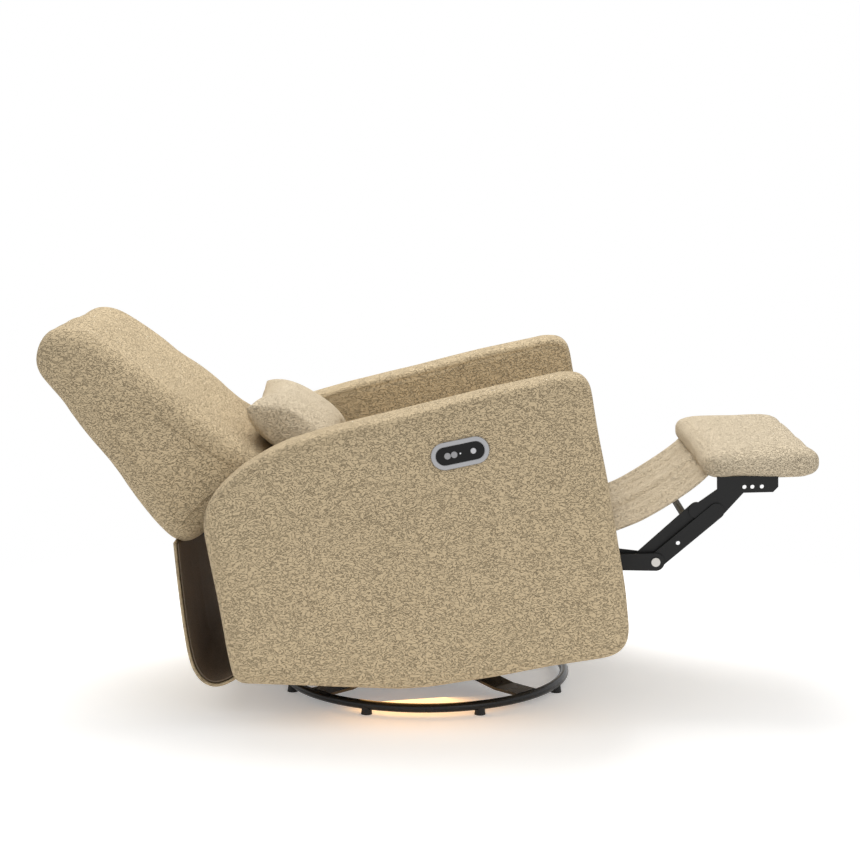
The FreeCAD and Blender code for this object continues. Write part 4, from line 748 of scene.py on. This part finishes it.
def cloth_sheet(name, line, half_width, finish, thickness, waves, seed):
    """A hanging sheet: a side-view line carried across, with lengthwise folds that fade at its fixed ends.

    The folds are six sine waves across the sheet, each lower by the root of its number, and each drifts
    sideways along the line. Their height is waves times a quarter at the ends and the whole at mid length.
    """
    along_steps, across_steps = SHEET_STEPS
    path = open_curve(line, along_steps, SHEET_SOFTNESS)
    ahead = np.gradient(path, axis=0)
    normal = np.stack([-ahead[:, 1], ahead[:, 0]], -1)
    normal /= np.linalg.norm(normal, axis=1, keepdims=True)
    along = np.linspace(0, 1, along_steps)[:, None]
    across = np.linspace(-1, 1, across_steps)[None, :]
    rng = np.random.default_rng(seed)
    folds = np.zeros(SHEET_STEPS)
    for number in range(1, 7):
        phase, drift = rng.uniform(0, 2 * math.pi), rng.uniform(-1.2, 1.2)
        folds += np.sin(math.pi * number * 1.7 * across + phase + drift * along) / number**0.5
    height = waves * folds * (0.25 + 0.75 * np.sin(math.pi * along) ** 0.6)
    x = path[:, :1] + normal[:, :1] * height
    z = path[:, 1:] + normal[:, 1:] * height
    y = half_width * across + np.zeros(SHEET_STEPS)
    points = np.stack([x, y, z], -1).reshape(-1, 3)
    index = np.arange(along_steps * across_steps).reshape(SHEET_STEPS)
    piece = make_piece(name, points, grid_faces(index), finish)
    wall = piece.modifiers.new("thickness", "SOLIDIFY")
    wall.thickness = thickness * MM
    wall.offset = 0.0
    return piece


def make_leg_cloth():
    """Leg-rest cloth: slung from the pad's rear edge to the seat front, sagging, with lengthwise creases."""
    line = [(549, 472), (534, 456), (514, 439), (488, 420), (451, 396), (413, 374), (369, 356), (330, 342),
            (300, 338), (286, 352), (279, 378)]
    cloth = cloth_sheet("leg_rest_upholstery", line, 236.0, FINISHES["boucle_fine"], 3.0, waves=4.2, seed=9)
    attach(cloth, "chair_body")
    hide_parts("leg_rest_cloth")
    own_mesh(cloth)


def make_skirt():
    """Rear skirt: boucle outside, dark lining inside, from the backrest's foot round under the body."""
    line = [(-473, 334), (-467, 264), (-459, 186), (-451, 127), (-443, 92), (-430, 68), (-414, 56),
            (-400, 53), (-383, 57), (-362, 68), (-345, 84)]
    inward = [(6, -2), (6, 0), (6, 0), (6, 1), (6, 2), (5, 4), (3, 6), (0, 6), (-3, 6), (-4, 5), (-4, 4)]
    inner_line = np.add(line, inward)
    outer = cloth_sheet("rear_skirt", line, 262.0, FINISHES["boucle"], 5.0, waves=0.7, seed=15)
    inner = cloth_sheet("rear_skirt_lining", inner_line, 259.0, FINISHES["lining"], 2.0, waves=0.7, seed=15)
    for piece, slot_name, flat in ((outer, "boucle", (0.524, 0.375)), (inner, "lining", (0.518, 0.362))):
        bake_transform(piece)
    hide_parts("rear_flap")


def make_floor():
    """White floor paper that keeps the shadow near the chair and fades out round it."""
    side = 3.0
    points = np.array([(-side, -side, 0), (side, -side, 0), (side, side, 0), (-side, side, 0)]) / MM
    paper, tree, shader = new_finish("floor_paper", (0.93, 0.93, 0.93), 0.9)
    shader.inputs["Specular IOR Level"].default_value = 0.1
    shader.inputs["Emission Color"].default_value = (1.0, 1.0, 1.0, 1.0)
    shader.inputs["Emission Strength"].default_value = 0.25
    reach = add_node(tree, "VectorMath", {"operation": "LENGTH"})
    tree.links.new(object_place(tree), reach.inputs[0])
    fade = add_node(
        tree, "MapRange",
        {"interpolation_type": "SMOOTHSTEP", "From Min": 0.7, "From Max": 1.5, "To Min": 1.0, "To Max": 0.0},
        Value=reach.outputs["Value"],
    )
    tree.links.new(fade.outputs[0], shader.inputs["Alpha"])
    floor = make_piece("floor", points, [(0, 1, 2, 3)], paper, smooth=False)


def make_world():
    """A world seen white by the camera and by reflections, and a little dimmer as light."""
    world = bpy.data.worlds.new("studio")
    bpy.context.scene.world = world
    world.use_nodes = True
    tree = world.node_tree
    background = tree.nodes["Background"]
    background.inputs["Color"].default_value = (1.0, 1.0, 1.0, 1.0)
    rays = add_node(tree, "LightPath")
    seen = maths(tree, "MAXIMUM", rays.outputs["Is Camera Ray"], rays.outputs["Is Glossy Ray"])
    strength = add_node(tree, "MapRange", {"To Min": 0.72, "To Max": 1.0}, Value=seen)
    tree.links.new(strength.outputs[0], background.inputs["Strength"])


def add_light(name, location, target, size, power, colour):
    """A large soft panel of light aimed at a point."""
    data = bpy.data.lights.new(name, "AREA")
    data.shape = "DISK"
    data.size = size
    data.energy = power
    data.color = colour
    lamp = bpy.data.objects.new(name, data)
    lamp.location = location
    aim = np.asarray(target, float) - np.asarray(location, float)
    heading = math.atan2(aim[1], aim[0]) - 0.5 * math.pi
    dip = math.atan2(math.hypot(aim[0], aim[1]), -aim[2])
    lamp.rotation_euler = (dip, 0.0, heading)
    bpy.context.scene.collection.objects.link(lamp)


def make_light():
    """Soft studio light: a broad panel overhead and behind, a weaker one in front, and a warm glow below."""
    add_light("overhead", (-0.4, 1.3, 3.2), (0.0, 0.0, 0.4), 2.8, 80.0, (1.0, 0.985, 0.965))
    add_light("front_fill", (2.2, -2.6, 2.4), (0.0, 0.0, 0.4), 2.6, 22.0, (1.0, 0.99, 0.97))
    add_light("under_glow", (-0.02, -0.2, 0.075), (0.02, -0.36, 0.0), 0.22, 0.35, (1.0, 0.52, 0.15))


bpy.context.scene.view_settings.view_transform = "Standard"
make_camera()
dress_nodes()
make_arms()
make_seat()
make_back()
make_pillow()
make_footrest_pad()
make_leg_cloth()
make_skirt()
make_floor()
make_world()
make_light()
